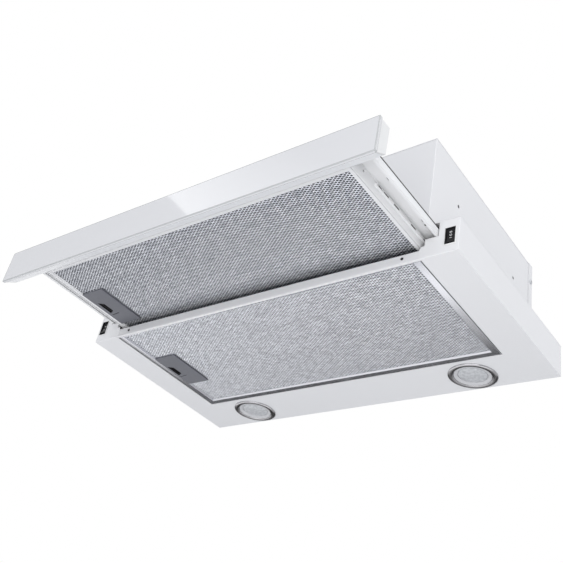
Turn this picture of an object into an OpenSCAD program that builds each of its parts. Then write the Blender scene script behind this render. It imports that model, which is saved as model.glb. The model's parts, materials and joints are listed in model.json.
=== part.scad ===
// Pull out range hood for a 600 mm kitchen cabinet, drawn with its drawer pulled out.
// Working frame of the dimensions below: X to the right, Y from the base's front edge to the
// wall, Z up from the base's underside. in_frame() moves all of it so that the origin is the
// centre of the duct outlet's mouth.

/* [Base] */
// Width of the base, across the kitchen cabinet
base_w = 598; // [560:1:700]
// Depth of the base, from its front edge to the wall
base_d = 298; // [285:1:330]
// Height of the base
base_h = 47; // [45:0.5:60]
// Thickness of the sheet steel
sheet = 1; // [0.8:0.1:1.2]
// Height of the bar under the drawer's mouth
crossbar_h = 12.5; // [11:0.5:14]
// Depth of the bar under the drawer's mouth
crossbar_d = 3; // [2.6:0.1:4]
// Distance of the bar's screws from its ends
crossbar_screw_inset = 21.5; // [10:0.5:60]

/* [Upper housing] */
// Distance of the housing's side walls from the base's ends
housing_inset = 43; // [30:1:60]
// Height of the housing above the base
housing_h = 143; // [140:1:180]
// Distance of the housing's front panel behind the base's front edge
housing_setback = 3; // [2:0.5:8]
// Width of the folded flanges
flange_w = 12; // [9:1:15]
// Distance of the front cabinet screw behind the base's front edge
cabinet_screw_y = 70; // [40:1:90]
// Distance between the two cabinet screws in one side
cabinet_screw_pitch = 166; // [120:1:190]
// Height of the cabinet screws above the base's underside
cabinet_screw_z = 130; // [90:1:160]
// Diameter of the holes for the cabinet screws
cabinet_screw_d = 5; // [4:0.5:7]

/* [Duct outlet] */
// Outer diameter of the round duct outlet
duct_d = 119; // [110:0.5:122]
// Height of the duct outlet above the housing
duct_h = 40; // [34:1:60]
// Wall of the duct outlet
duct_wall = 2; // [1.5:0.25:2.5]
// Distance of the duct outlet's axis behind the base's front edge
duct_y = 150; // [140:1:165]

/* [Blower] */
// Outer diameter of the two fan wheels
wheel_d = 100; // [84:1:104]
// Width of one fan wheel
wheel_w = 44; // [30:1:50]
// Number of blades on one fan wheel
wheel_blades = 28; // [18:1:32]
// Diameter of the motor
motor_d = 76; // [60:1:80]
// Length of the motor
motor_l = 50; // [40:1:60]
// Diameter of the motor shaft
shaft_d = 8; // [6:0.5:10]
// Wall of the scroll around the fan wheels
scroll_wall = 2; // [1.5:0.25:2.5]
// Diameter of the motor's capacitor
capacitor_d = 32; // [24:1:40]
// Length of the motor's capacitor
capacitor_h = 58; // [40:1:80]

/* [Drawer] */
// How far the drawer slides
travel = 153.5; // [120:0.5:160]
// Room left in front of the base when the drawer is shut
closed_gap = 2.5; // [2:0.25:5]
// Width of the base's ends beside the drawer
base_end_w = 27; // [25:0.5:32]
// Room behind the shut drawer, for its switch and the leads
drawer_room = 74; // [68:1:90]
// Width of one side channel
channel_w = 23; // [21:0.5:26]
// Height of a side channel's outer wall
channel_h = 9.5; // [8:0.25:11]
// Height of the drawer's frame
drawer_h = 19; // [17:0.5:21]
// Depth of the cover over the drawer
cover_d = 176; // [140:1:190]

/* [Front panel] */
// How far each end of the glass stands out past the base's end
glass_overhang = 0.5; // [-4:0.25:6]
// Thickness of the glass
glass_t = 4; // [3:0.5:6]
// How far the glass reaches below the base's underside
glass_drop = 4.5; // [2:0.5:10]
// Distance of the glass's upper edge below the base's upper face
glass_gap = 2.5; // [1:0.5:5]
// Thickness of the panel, glass included
panel_t = 20; // [16:0.5:26]

/* [Filters] */
// Thickness of both filters
filter_t = 8.5; // [7.5:0.25:9]
// Width of the rear filter's rim
rear_filter_rim = 9; // [7:0.5:12]
// Width of the front filter's rim
front_filter_rim = 4.5; // [3.5:0.5:6]
// Thickness of the filter mesh
mesh_t = 1.2; // [0.8:0.1:1.6]
// Rows of openings in a filter mesh
mesh_rows = 9; // [6:1:10]
// Openings in one row of a filter mesh
mesh_columns = 22; // [14:1:26]
// Width of the metal between the mesh's openings
mesh_web = 2.2; // [1.6:0.1:3]
// Size of a filter handle across the hood
handle_w = 40; // [37:1:48]
// Size of a filter handle from front to back
handle_l = 80; // [50:1:100]
// How far a filter's bolt slides
latch_travel = 5; // [3.5:0.25:6]

/* [Lights and switches] */
// Outer diameter of a light's metal ring
light_d = 66; // [54:1:68]
// Width of a light's metal ring
light_ring_w = 7; // [5:0.5:9]
// Diameter of a light's lens
lens_d = 40; // [30:1:44]
// Distance of the lights from the base's ends
light_inset = 108; // [60:1:160]
// Distance of a light's ring from the base's rear edge
light_margin = 4; // [4:0.5:12]
// Distance between a light's ring and the rear filter
light_filter_gap = 7; // [6:0.5:16]
// Width of a rocker switch
switch_w = 13; // [11:0.5:15]
// Height of a rocker switch
switch_h = 23; // [20:0.5:24]
// Distance of a rocker switch's middle from the base's end
switch_inset = 11; // [10:0.5:13]
// Height of a rocker switch's middle
switch_z = 22.5; // [20:0.5:26]

/* [Hidden] */
$fn = 48;

// Colours
white_paint = [0.93, 0.93, 0.94];
white_glass = [0.88, 0.89, 0.9];
white_plastic = [0.9, 0.89, 0.86];
zinc_steel = [0.68, 0.69, 0.7];
black_steel = [0.05, 0.05, 0.055];
aluminium = [0.72, 0.72, 0.75];
dark_plastic = [0.33, 0.33, 0.36];
black_plastic = [0.06, 0.06, 0.07];
fan_plastic = [0.2, 0.2, 0.22];
frosted_lens = [0.82, 0.84, 0.86];

// Small sizes and clearances
seam = 0.3;              // gap between pieces that move past each other
fit = 0.05;              // radial clearance of a turning pin
eps = 0.5;               // overshoot of a cutting shape past a wall
screw_r = 2;             // radius of a screw hole
screw_head_r = 3.6;
screw_head_h = 1.6;
screw_len = 7;

// Base
base_x = base_w / 2;
plate_z = base_h - sheet;                 // underside of the base's top plate
top_open_front = 12;
top_open_back = base_d - 13;
light_x = base_x - light_inset;
light_y = base_d - light_margin - light_d / 2;
light_sleeve_r = light_d / 2 - 2.5;
light_bore_r = light_d / 2 - light_ring_w;
light_lip = 1.6;
switch_x = base_x - switch_inset;
switch_depth = 24;
rocker_y = 5;                             // rocker's turning axis behind the base's face
rocker_pin_r = 1;
rocker_tilt = 9;

// Upper housing
housing_x = base_x - housing_inset;
housing_z0 = base_h;
housing_top = base_h + housing_h;         // upper face of the housing's top panel
top_panel_z = housing_top - sheet;
housing_back = base_d;
foot_x = housing_x - sheet - flange_w;    // inner edge of the housing's foot flanges
lap_w = 12;                               // rear panel's fold over the side walls

// Duct outlet
duct_r = duct_d / 2;
duct_bore_r = duct_r - duct_wall;
collar_top = housing_top + duct_h;
collar_flange_r = duct_r + 16;
collar_flange_t = 3;
collar_screw_r = duct_r + 10;
flap_z = housing_top + 16;                // height of the flaps' pin
flap_pin_r = 1.5;
flap_knuckle_r = 3;
flap_t = 1.5;
flap_r = duct_bore_r - 2;
flap_start = flap_knuckle_r + 0.4;
flap_ledge_w = 4;

// Blower
wheel_r = wheel_d / 2;
motor_r = motor_d / 2;
shaft_r = shaft_d / 2;
bracket_t = 2;
half_l = motor_l / 2;
wheel_x0 = half_l + 6;                    // wheel's back plate
wheel_x1 = wheel_x0 + wheel_w;
scroll_x = wheel_x1 + 5 + scroll_wall;    // outside of the scroll's side wall
inlet_r = wheel_r - 9;
blade_depth = 10;
scroll_start_r = wheel_r + 5;             // inner radius at the cutoff
scroll_growth = 10;                       // added to that radius over one turn
outlet_w = 62;                            // inside of the scroll's outlet, front to back
throat_h = 19;                            // height of the adapter above the scroll
outlet_z = top_panel_z - throat_h;        // where the scroll ends and the adapter starts
shaft_z = outlet_z - scroll_wall - scroll_start_r - 1;
shaft_y = duct_y - scroll_start_r - scroll_growth + outlet_w / 2;
outlet_y0 = duct_y - outlet_w / 2;
outlet_y1 = duct_y + outlet_w / 2;
hub_r = 10;
hub_l = 18;
bearing_r = 9;
bearing_w = 6;

// Electrical pieces
box_wall = 2;
box_w = 96;
box_d = 78;
box_h = 42;
box_x1 = housing_x - 32;                  // control box under the top panel
box_x0 = box_x1 - box_w;
box_y1 = base_d - 24;
box_y0 = box_y1 - box_d;
box_z0 = top_panel_z - box_h;
wire_z = box_z0 + 20;
gland_x = box_x0 + box_w / 2;
gland_y = box_y0 + box_d / 2;
gland_r = 8;
gland_bore_r = 3.7;
cap_r = capacitor_d / 2;
cap_inset_x = 70;
cap_inset_y = 42;
cap_x = -(housing_x - cap_inset_x - cap_r);
cap_y = base_d - cap_inset_y - cap_r;
cap_stud_r = 4;
wire_r = 2.5;
plunger_r = 2;

// Drawer and rails
drawer_x = base_x - base_end_w;           // outer face of a side channel
channel_x0 = drawer_x - channel_w;        // inner face of a side channel's inner wall
drawer_d = base_d - drawer_room;
panel_back = -(travel + closed_gap);      // back of the front panel, drawer pulled out
glass_front = panel_back - panel_t;
glass_back = glass_front + glass_t;
glass_half = base_x + glass_overhang;
glass_top = base_h - glass_gap;
panel_half = glass_half - 4;              // half length of the profile behind the glass
panel_wall = 1.2;
drawer_back = panel_back + drawer_d;
shut_back = drawer_back + travel;         // back of the drawer when it is shut
rail_h = 7;
rail_gap = 2;                             // between the fixed rail and the drawer's channel
channel_top = plate_z - rail_h - rail_gap;
channel_bottom = channel_top - channel_h;
drawer_bottom = channel_top - drawer_h;
beam_front_d = 9;
beam_rear_d = 10;
beam_rear_h = 12;
beam_mid_z = (drawer_bottom + channel_top) / 2;
cover_top = plate_z - 2.5;
channel_lip = 3.5;
channel_cap_d = 18;                       // closed front end of a side channel
ceiling_slot_from_front = [58, 135];      // narrow slots in a side channel's ceiling
ceiling_hole_from_front = 143;
ceiling_hole_r = 1.2;
ceiling_inset = 9;                        // from the channel's outer face
stiffener_t = 2.8;                        // strip along a side channel's inner wall
stiffener_h = 4;
stiffener_from_front = 53;
slot_from_front = [61, 74, 96, 134, 163];
slot_l = 11;
slot_h = 2;
rail_x = channel_x0 + 8.5;                // middle of a rail
rail_half = 7;
rail_wall = 1;
rail_lip = 1.8;
rail_foot_t = 1.3;
rail_y0 = 8;
rail_l = shut_back - rail_y0 + 5.5;
rail_bottom = plate_z - rail_h;
middle_out = travel / 2;

// Drawer's mouth in the base's front
mouth_gap = 1;
mouth_low_x = channel_x0 + 0.5;
mouth_mid_x = channel_x0 + 7;
mouth_high_x = drawer_x + mouth_gap;
mouth_mid_z = drawer_bottom - mouth_gap;
mouth_high_z = channel_bottom - mouth_gap;

// Filters
filter_gap = 1;                           // between the front filter and the drawer
rear_filter_l = 2 * (mouth_low_x + 0.5);
rear_filter_y = crossbar_d + 1;
rear_filter_d = light_y - light_d / 2 - light_filter_gap - rear_filter_y;
front_filter_l = 2 * (channel_x0 - filter_gap);
front_filter_y = panel_back + beam_front_d + filter_gap;
front_filter_d = drawer_d - beam_front_d - beam_rear_d - 2 * filter_gap;
front_filter_z = drawer_bottom + 0.5;
window_x = rear_filter_l / 2 + 1.5;       // filter window in the base's underside
window_front = rear_filter_y - 0.7;
window_back = rear_filter_y + rear_filter_d + 0.7;
lip_y = crossbar_d - 0.8;                 // front face of the turned-up lip behind the bar
lip_h = 9;
ear_t = 4;
hinge_pin_r = 2;
hinge_inset = 3.5;                        // hinge pin from the filter's right end
hinge_up = filter_t / 2 + 0.25;           // hinge pin above the filter's underside
pin_reach = 0.7;                          // how far a hinge pin passes into its plate
rim_t = 1.2;
mesh_border = 5;
latch_up = sheet + seam;                  // bolt above the filter's underside
latch_len = 25;                           // bolt behind the filter's left end
latch_w = 24;
latch_t = 3;
latch_nose = 4.5;
finger_w = 11;
finger_l = 20;
spring_len = 9;
spring_r = 1.3;

// Places everything in the part's own frame
module in_frame() {
    translate([0, -duct_y, -collar_top])
        children();
}

// A box given by two opposite corners
module block(low, high) {
    translate(low)
        cube(high - low);
}

// The children and their mirror image across the middle
module both_sides() {
    children();
    mirror([1, 0, 0])
        children();
}

// The children on the right for side 1 and on the left for side -1
module on_side(side) {
    mirror([side < 0 ? 1 : 0, 0, 0])
        children();
}

// A cylinder along X, Y or Z that starts at a point
module rod_x(start, r, l) {
    translate(start)
        rotate([0, 90, 0])
            cylinder(r = r, h = l);
}
module rod_y(start, r, l) {
    translate(start)
        rotate([-90, 0, 0])
            cylinder(r = r, h = l);
}
module rod_z(start, r, l) {
    translate(start)
        cylinder(r = r, h = l);
}

// A domed screw whose shank starts at a point and runs along +Z before it is turned
module screw(l = screw_len) {
    cylinder(r = screw_r - fit, h = l);
    translate([0, 0, -screw_head_h])
        cylinder(r1 = screw_head_r - 1, r2 = screw_head_r, h = screw_head_h);
}

// Where screws go through the sheet steel; the same lists place screws and holes
crossbar_screws = [
    for (s = [-1, 1]) [s * (mouth_low_x - crossbar_screw_inset), 0, (crossbar_h + sheet) / 2]
];
foot_screws = [
    for (s = [-1, 1], y = [housing_setback + 36, base_d / 2, base_d - 36])
        [s * (foot_x + flange_w / 2), y]
];
lap_screws = [for (s = [-1, 1], z = [housing_z0 + 24, housing_top - 30]) [s, z]];
collar_screws = [for (a = [45:90:315]) [collar_screw_r * cos(a), collar_screw_r * sin(a) + duct_y]];
panel_screw_x = [for (i = [-1.5:1:1.5]) i * (channel_x0 - 9) / 2];

// Front view of the drawer's mouth in the base
module mouth_profile() {
    polygon([
        [-mouth_low_x, crossbar_h], [mouth_low_x, crossbar_h], [mouth_mid_x - 4, mouth_mid_z],
        [mouth_mid_x, mouth_mid_z], [mouth_mid_x, mouth_high_z], [mouth_high_x, mouth_high_z],
        [mouth_high_x, plate_z + eps], [-mouth_high_x, plate_z + eps],
        [-mouth_high_x, mouth_high_z], [-mouth_mid_x, mouth_high_z],
        [-mouth_mid_x, mouth_mid_z], [-mouth_mid_x + 4, mouth_mid_z]
    ]);
}

module base_pan() {
    color(white_paint) in_frame() {
        difference() {
            block([-base_x, 0, 0], [base_x, base_d, plate_z]);
            block([-base_x + sheet, sheet, sheet], [base_x - sheet, base_d - sheet, plate_z + eps]);
            translate([0, sheet + eps, 0])
                rotate([90, 0, 0])
                    linear_extrude(height = sheet + 2 * eps)
                        mouth_profile();
            block([-mouth_low_x, -eps, sheet], [mouth_low_x, sheet + eps, crossbar_h + eps]);
            block([-window_x, window_front, -eps], [window_x, window_back, sheet + eps]);
            both_sides() {
                rod_z([light_x, light_y, -eps], light_sleeve_r + seam, sheet + 2 * eps);
                block(
                    [switch_x - switch_w / 2, -eps, switch_z - switch_h / 2],
                    [switch_x + switch_w / 2, sheet + eps, switch_z + switch_h / 2]
                );
            }
        }
        window_lip();
        filter_hinge_ear();
    }
}

// Turned-up lip in front of the filter window; it takes the bar's screws and a hinge pin
module window_lip() {
    difference() {
        block([-mouth_low_x, lip_y, sheet], [mouth_low_x, lip_y + sheet, lip_h]);
        rod_y([rear_filter_l / 2 - hinge_inset, lip_y - eps, hinge_up], hinge_pin_r + fit,
            sheet + 2 * eps);
        for (p = crossbar_screws)
            rod_y([p[0], lip_y - eps, p[2]], screw_r, sheet + 2 * eps);
    }
}

// Ear behind the filter window with the bore for the other hinge pin
module filter_hinge_ear() {
    pin_x = rear_filter_l / 2 - hinge_inset;
    ear_y = rear_filter_y + rear_filter_d + 1;
    difference() {
        block([pin_x - 7, ear_y, sheet], [pin_x + 7, ear_y + ear_t, hinge_up + 7.5]);
        rod_y([pin_x, ear_y - eps, hinge_up], hinge_pin_r + fit, ear_t + 2 * eps);
    }
}

module base_top_plate() {
    color(white_paint) in_frame() difference() {
        block([-base_x, 0, plate_z], [base_x, base_d, base_h]);
        block([-foot_x, top_open_front, plate_z - eps], [foot_x, top_open_back, base_h + eps]);
        for (p = foot_screws)
            rod_z([p[0], p[1], plate_z - eps], screw_r, sheet + 2 * eps);
    }
}

module front_crossbar() {
    color(white_paint) in_frame() difference() {
        block([-mouth_low_x, 0, sheet], [mouth_low_x, crossbar_d, crossbar_h]);
        block([-mouth_low_x - eps, sheet, 2 * sheet], [mouth_low_x + eps, lip_y, crossbar_h - sheet]);
        block([-mouth_low_x - eps, lip_y, 0], [mouth_low_x + eps, crossbar_d + eps, lip_h + 0.5]);
        for (p = crossbar_screws)
            rod_y([p[0], -eps, p[2]], screw_r, sheet + 2 * eps);
    }
}

module housing_wrap() {
    inner_x = housing_x - sheet;
    rear_y = housing_back - sheet;
    color(white_paint) in_frame() difference() {
        union() {
            difference() {
                block([-housing_x, housing_setback, housing_z0], [housing_x, rear_y, top_panel_z]);
                block([-inner_x, housing_setback + sheet, housing_z0 - eps],
                    [inner_x, rear_y + eps, top_panel_z + eps]);
            }
            both_sides() {
                block([foot_x, housing_setback + sheet, housing_z0],
                    [inner_x, rear_y, housing_z0 + sheet]);
                block([foot_x, housing_setback + sheet, top_panel_z - sheet],
                    [inner_x, rear_y, top_panel_z]);
            }
        }
        both_sides()
            for (y = [cabinet_screw_y, cabinet_screw_y + cabinet_screw_pitch])
                rod_x([inner_x - eps, y, cabinet_screw_z], cabinet_screw_d / 2, sheet + 2 * eps);
        for (p = lap_screws)
            on_side(p[0])
                rod_x([inner_x - eps, housing_back - lap_w / 2, p[1]], screw_r, sheet + 2 * eps);
        for (p = foot_screws)
            rod_z([p[0], p[1], housing_z0 - eps], screw_r, sheet + 2 * eps);
    }
}

module housing_rear_panel() {
    color(white_paint) in_frame() {
        block([-housing_x, housing_back - sheet, housing_z0], [housing_x, housing_back, housing_top]);
        difference() {
            both_sides()
                block([housing_x, housing_back - lap_w, housing_z0],
                    [housing_x + sheet, housing_back, housing_top]);
            for (p = lap_screws)
                on_side(p[0])
                    rod_x([housing_x - eps, housing_back - lap_w / 2, p[1]], screw_r, sheet + 2 * eps);
        }
    }
}

module housing_top_panel() {
    color(white_paint) in_frame() difference() {
        block([-housing_x, housing_setback, top_panel_z], [housing_x, housing_back - sheet, housing_top]);
        rod_z([0, duct_y, top_panel_z - eps], duct_bore_r, sheet + 2 * eps);
        rod_z([gland_x, gland_y, top_panel_z - eps], gland_r, sheet + 2 * eps);
        rod_z([cap_x, cap_y, top_panel_z - eps], cap_stud_r, sheet + 2 * eps);
        for (p = collar_screws)
            rod_z([p[0], p[1], top_panel_z - eps], screw_r, sheet + 2 * eps);
    }
}

module sheet_screws() {
    color(zinc_steel) in_frame() {
        for (p = crossbar_screws)
            translate(p)
                rotate([-90, 0, 0])
                    screw(lip_y + sheet + 0.2);
        for (p = foot_screws)
            translate([p[0], p[1], housing_z0 + sheet])
                rotate([180, 0, 0])
                    screw(2 * sheet);
        for (p = lap_screws)
            on_side(p[0])
                translate([housing_x + sheet, housing_back - lap_w / 2, p[1]])
                    rotate([0, -90, 0])
                        screw();
        for (p = collar_screws)
            translate([p[0], p[1], housing_top + collar_flange_t])
                rotate([180, 0, 0])
                    screw();
    }
}

module duct_collar() {
    color(fan_plastic) in_frame() difference() {
        union() {
            rod_z([0, duct_y, housing_top], collar_flange_r, collar_flange_t);
            rod_z([0, duct_y, housing_top], duct_r, duct_h);
        }
        rod_z([0, duct_y, housing_top - eps], duct_bore_r - flap_ledge_w, duct_h + 2 * eps);
        rod_z([0, duct_y, flap_z - flap_t / 2 - seam], duct_bore_r, duct_h);
        rod_z([0, duct_y, housing_top - eps], duct_bore_r, flap_z - housing_top - 5 + eps);
        rod_x([-duct_r - eps, duct_y, flap_z], flap_pin_r, duct_d + 2 * eps);
        for (p = collar_screws)
            rod_z([p[0], p[1], housing_top - eps], screw_r, collar_flange_t + 2 * eps);
    }
}

module flap_pin() {
    color(zinc_steel) in_frame()
        rod_x([-duct_r + 0.5, duct_y, flap_z], flap_pin_r, duct_d - 1);
}

// One half of the non-return valve; its knuckles lie between the other half's
module flap(knuckles) {
    difference() {
        union() {
            intersection() {
                rod_z([0, 0, -flap_t / 2], flap_r, flap_t);
                block([-flap_r, flap_start, -flap_t], [flap_r, flap_r, flap_t]);
            }
            for (k = knuckles) {
                rod_x([k[0], 0, 0], flap_knuckle_r, k[1] - k[0]);
                block([k[0], 0, -flap_t / 2], [k[1], flap_start + 1, flap_t / 2]);
            }
        }
        rod_x([-duct_r, 0, 0], flap_pin_r + fit, duct_d);
    }
}

module flap_rear() {
    color(fan_plastic) in_frame()
        translate([0, duct_y, flap_z])
            flap([[-25, -5], [5, 25]]);
}

module flap_front() {
    color(fan_plastic) in_frame()
        translate([0, duct_y, flap_z])
            mirror([0, 1, 0])
                flap([[-50, -26], [-4, 4], [26, 50]]);
}

// Side view of the scroll's air space: y runs forward along the drawing's x, z along its y
module scroll_outline(grow) {
    steps = 40;
    turn0 = 195;
    turn1 = 0;
    spiral = [
        for (i = [0:steps])
            let (a = turn0 + i * (360 + turn1 - turn0) / steps,
                 r = scroll_start_r + scroll_growth * (a - turn0) / (360 - turn0) + grow)
            [r * cos(a), r * sin(a)]
    ];
    outlet_in = outlet_y0 - shaft_y;
    outlet_out = outlet_y1 - shaft_y;
    translate([shaft_y, shaft_z])
        union() {
            polygon(concat(spiral, [
                [outlet_out + grow, 0], [outlet_out + grow, outlet_z - shaft_z],
                [outlet_in - grow, outlet_z - shaft_z], [outlet_in - grow, scroll_start_r - 6]
            ]));
            circle(r = scroll_start_r + grow);
        }
}

// Extrudes a side view along X between two planes
module along_x(x0, x1) {
    translate([x0, 0, 0])
        rotate([90, 0, 90])
            linear_extrude(height = x1 - x0)
                children();
}

module scroll_half() {
    inner_start = bracket_t / 2;
    difference() {
        along_x(inner_start, scroll_x)
            scroll_outline(scroll_wall);
        along_x(inner_start - eps, scroll_x - scroll_wall)
            scroll_outline(0);
        block([inner_start - eps, outlet_y0, outlet_z - 10],
            [scroll_x - scroll_wall, outlet_y1, outlet_z + eps]);
        rod_x([scroll_x - scroll_wall - eps, shaft_y, shaft_z], inlet_r, scroll_wall + 2 * eps);
    }
    difference() {
        rod_x([scroll_x, shaft_y, shaft_z], inlet_r + 6, 3);
        rod_x([scroll_x - eps, shaft_y, shaft_z], inlet_r, 4);
    }
}

module scroll_right() {
    color(fan_plastic) in_frame()
        scroll_half();
}

module scroll_left() {
    color(fan_plastic) in_frame()
        mirror([1, 0, 0])
            scroll_half();
}

// Plastic throat from the scroll's square outlet to the round duct
module outlet_adapter() {
    throat_h = top_panel_z - outlet_z;
    color(fan_plastic) in_frame() difference() {
        hull() {
            block([-scroll_x, outlet_y0 - scroll_wall, outlet_z],
                [scroll_x, outlet_y1 + scroll_wall, outlet_z + 1]);
            translate([0, duct_y, top_panel_z - 1])
                cylinder(r = duct_bore_r + 1.5, h = 1, $fn = 40);
        }
        hull() {
            block([-scroll_x + scroll_wall, outlet_y0, outlet_z - eps],
                [scroll_x - scroll_wall, outlet_y1, outlet_z + 1]);
            translate([0, duct_y, top_panel_z - 1])
                cylinder(r = duct_bore_r - 1, h = 1 + eps, $fn = 40);
        }
    }
}

// Plate between the two scroll halves that carries the motor on three arms
module motor_bracket() {
    color(zinc_steel) in_frame() along_x(-bracket_t / 2, bracket_t / 2) {
        difference() {
            scroll_outline(scroll_wall);
            scroll_outline(-1);
            translate([outlet_y0, outlet_z - 12])
                square([outlet_w, 14]);
        }
        difference() {
            intersection() {
                scroll_outline(0);
                translate([shaft_y, shaft_z])
                    union() {
                        circle(r = motor_r + 5);
                        for (a = [210, 270, 330])
                            rotate(a)
                                translate([motor_r, -5])
                                    square([wheel_r, 10]);
                    }
            }
            translate([shaft_y, shaft_z])
                circle(r = motor_r);
        }
    }
}

module motor_body() {
    cap_l = 6;
    color(zinc_steel) in_frame() difference() {
        union() {
            rod_x([-half_l + cap_l, shaft_y, shaft_z], motor_r, motor_l - 2 * cap_l);
            rod_x([-half_l, shaft_y, shaft_z], motor_r - 14, motor_l);
        }
        rod_x([-half_l - eps, shaft_y, shaft_z], bearing_r, motor_l + 2 * eps);
    }
}

module motor_bearings() {
    color(aluminium) in_frame()
        both_sides()
            difference() {
                rod_x([half_l - bearing_w, shaft_y, shaft_z], bearing_r, bearing_w);
                rod_x([half_l - bearing_w - eps, shaft_y, shaft_z], shaft_r + fit, bearing_w + 2 * eps);
            }
}

module rotor_shaft() {
    color(zinc_steel) in_frame()
        rod_x([-wheel_x0 - hub_l, shaft_y, shaft_z], shaft_r, 2 * (wheel_x0 + hub_l));
}

// Forward-curved fan wheel, back plate towards the motor
module impeller() {
    blade_t = 1.2;
    blade_turn = 35;
    translate([0, shaft_y, shaft_z]) {
        difference() {
            union() {
                rod_x([wheel_x0, 0, 0], wheel_r, 2);
                rod_x([wheel_x0, 0, 0], hub_r, hub_l);
            }
            rod_x([wheel_x0 - eps, 0, 0], shaft_r, hub_l + 2 * eps);
        }
        difference() {
            rod_x([wheel_x1 - 3, 0, 0], wheel_r, 3);
            rod_x([wheel_x1 - 4, 0, 0], wheel_r - blade_depth + 1, 5);
        }
        for (i = [0:wheel_blades - 1])
            rotate([i * 360 / wheel_blades, 0, 0])
                translate([wheel_x0 + 1, wheel_r - blade_depth, 0])
                    rotate([blade_turn, 0, 0])
                        translate([0, 0, -blade_t / 2])
                            cube([wheel_w - 2, blade_depth - 1.5, blade_t]);
    }
}

module impeller_right() {
    color(fan_plastic) in_frame()
        impeller();
}

module impeller_left() {
    color(fan_plastic) in_frame()
        mirror([1, 0, 0])
            impeller();
}

module capacitor() {
    color(white_plastic) in_frame() {
        rod_z([cap_x, cap_y, top_panel_z - capacitor_h], cap_r, capacitor_h);
        rod_z([cap_x, cap_y, top_panel_z], cap_stud_r - fit, sheet);
        translate([cap_x, cap_y, housing_top])
            cylinder(r = 7, h = 4, $fn = 6);
    }
}

module control_box() {
    color(white_plastic) in_frame() difference() {
        block([box_x0, box_y0, box_z0], [box_x1, box_y1, top_panel_z]);
        block([box_x0 + box_wall, box_y0 + box_wall, box_z0 - eps],
            [box_x1 - box_wall, box_y1 - box_wall, top_panel_z - box_wall]);
        rod_z([gland_x, gland_y, top_panel_z - box_wall - eps], gland_r, box_wall + 2 * eps);
        rod_x([box_x1 - box_wall - eps, box_y1 - 14, wire_z], wire_r, box_wall + 2 * eps);
        rod_x([box_x0 - eps, box_y0 + 20, wire_z], wire_r, box_wall + 2 * eps);
    }
}

module control_box_lid() {
    color(white_plastic) in_frame() {
        block([box_x0, box_y0, box_z0 - 2], [box_x1, box_y1, box_z0]);
        difference() {
            block([box_x0 + box_wall + 0.2, box_y0 + box_wall + 0.2, box_z0],
                [box_x1 - box_wall - 0.2, box_y1 - box_wall - 0.2, box_z0 + 4]);
            block([box_x0 + 2 * box_wall, box_y0 + 2 * box_wall, box_z0 - eps],
                [box_x1 - 2 * box_wall, box_y1 - 2 * box_wall, box_z0 + 5]);
        }
    }
}

module terminal_block() {
    ways = 5;
    way_w = 9;
    x0 = box_x0 + 14;
    z1 = top_panel_z - box_wall;
    color(dark_plastic) in_frame() difference() {
        block([x0, box_y1 - 24, z1 - 15], [x0 + ways * way_w + 3, box_y1 - 8, z1]);
        for (i = [0:ways - 1])
            rod_z([x0 + (i + 0.5) * way_w + 1.5, box_y1 - 16, z1 - 16], 2.2, 7);
    }
}

module cable_gland() {
    color(black_plastic) in_frame() difference() {
        union() {
            rod_z([gland_x, gland_y, top_panel_z - box_wall - 3], gland_r + 3, 3);
            rod_z([gland_x, gland_y, top_panel_z - box_wall], gland_r, box_wall + sheet);
            rod_z([gland_x, gland_y, housing_top], gland_r + 4, 4);
            translate([gland_x, gland_y, housing_top + 4])
                cylinder(r1 = gland_r + 2, r2 = gland_r - 1, h = 12);
        }
        rod_z([gland_x, gland_y, top_panel_z - box_wall - 4], gland_bore_r, 30);
    }
}

// A cable laid through a list of corner points
module cable(points) {
    for (i = [0:len(points) - 2]) {
        a = points[i];
        b = points[i + 1];
        d = b - a;
        l = norm(d);
        translate(a)
            rotate([0, acos(d[2] / l), atan2(d[1], d[0])])
                cylinder(r = wire_r, h = l, $fn = 16);
        if (i > 0)
            translate(a)
                sphere(r = wire_r, $fn = 16);
    }
}

// Leads from the control box to the blower, the capacitor, the lights and the switches
module wiring() {
    side_x = foot_x - wire_r - seam;
    run_margin = 20;
    run_y = base_d - run_margin;
    run_z = plate_z - 9;
    lamp_top = 28;
    switch_end = switch_depth + 1;
    turn_y = switch_end + 8;
    blower_z = shaft_z + 14;
    blower_x = scroll_x / 2;
    lead_gap = 15;
    color(black_plastic) in_frame() {
        cable([
            [box_x1 - box_wall, box_y1 - 14, wire_z], [side_x, box_y1 - 14, wire_z],
            [side_x, run_y, wire_z], [side_x, run_y, run_z], [-switch_x, run_y, run_z],
            [-switch_x, turn_y, run_z], [-switch_x, turn_y, switch_z],
            [-switch_x, switch_end, switch_z]
        ]);
        cable([
            [side_x, run_y, run_z], [switch_x, run_y, run_z], [switch_x, turn_y, run_z],
            [switch_x, turn_y, switch_z], [switch_x, switch_end, switch_z]
        ]);
        both_sides()
            cable([[light_x, run_y, run_z], [light_x, light_y, run_z], [light_x, light_y, lamp_top]]);
        cable([
            [box_x0 + box_wall, box_y0 + 20, wire_z], [scroll_x + 12, box_y0 + 20, wire_z],
            [scroll_x + 12, box_y0 + 20, blower_z], [blower_x, box_y0 + 20, blower_z],
            [blower_x, outlet_y1 + scroll_wall, blower_z]
        ]);
        cable([
            [cap_x, cap_y, top_panel_z - capacitor_h], [cap_x, cap_y, blower_z - lead_gap],
            [-blower_x, cap_y, blower_z - lead_gap], [-blower_x, outlet_y1 + scroll_wall, blower_z - lead_gap]
        ]);
    }
}

module light_ring() {
    translate([light_x, light_y, 0])
        difference() {
            union() {
                translate([0, 0, -light_lip])
                    cylinder(r1 = light_d / 2 - 1.2, r2 = light_d / 2, h = light_lip);
                cylinder(r = light_sleeve_r, h = 14);
            }
            translate([0, 0, -light_lip - eps])
                cylinder(r = light_bore_r, h = 20);
        }
}

module light_ring_right() {
    color(zinc_steel) in_frame()
        light_ring();
}

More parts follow.
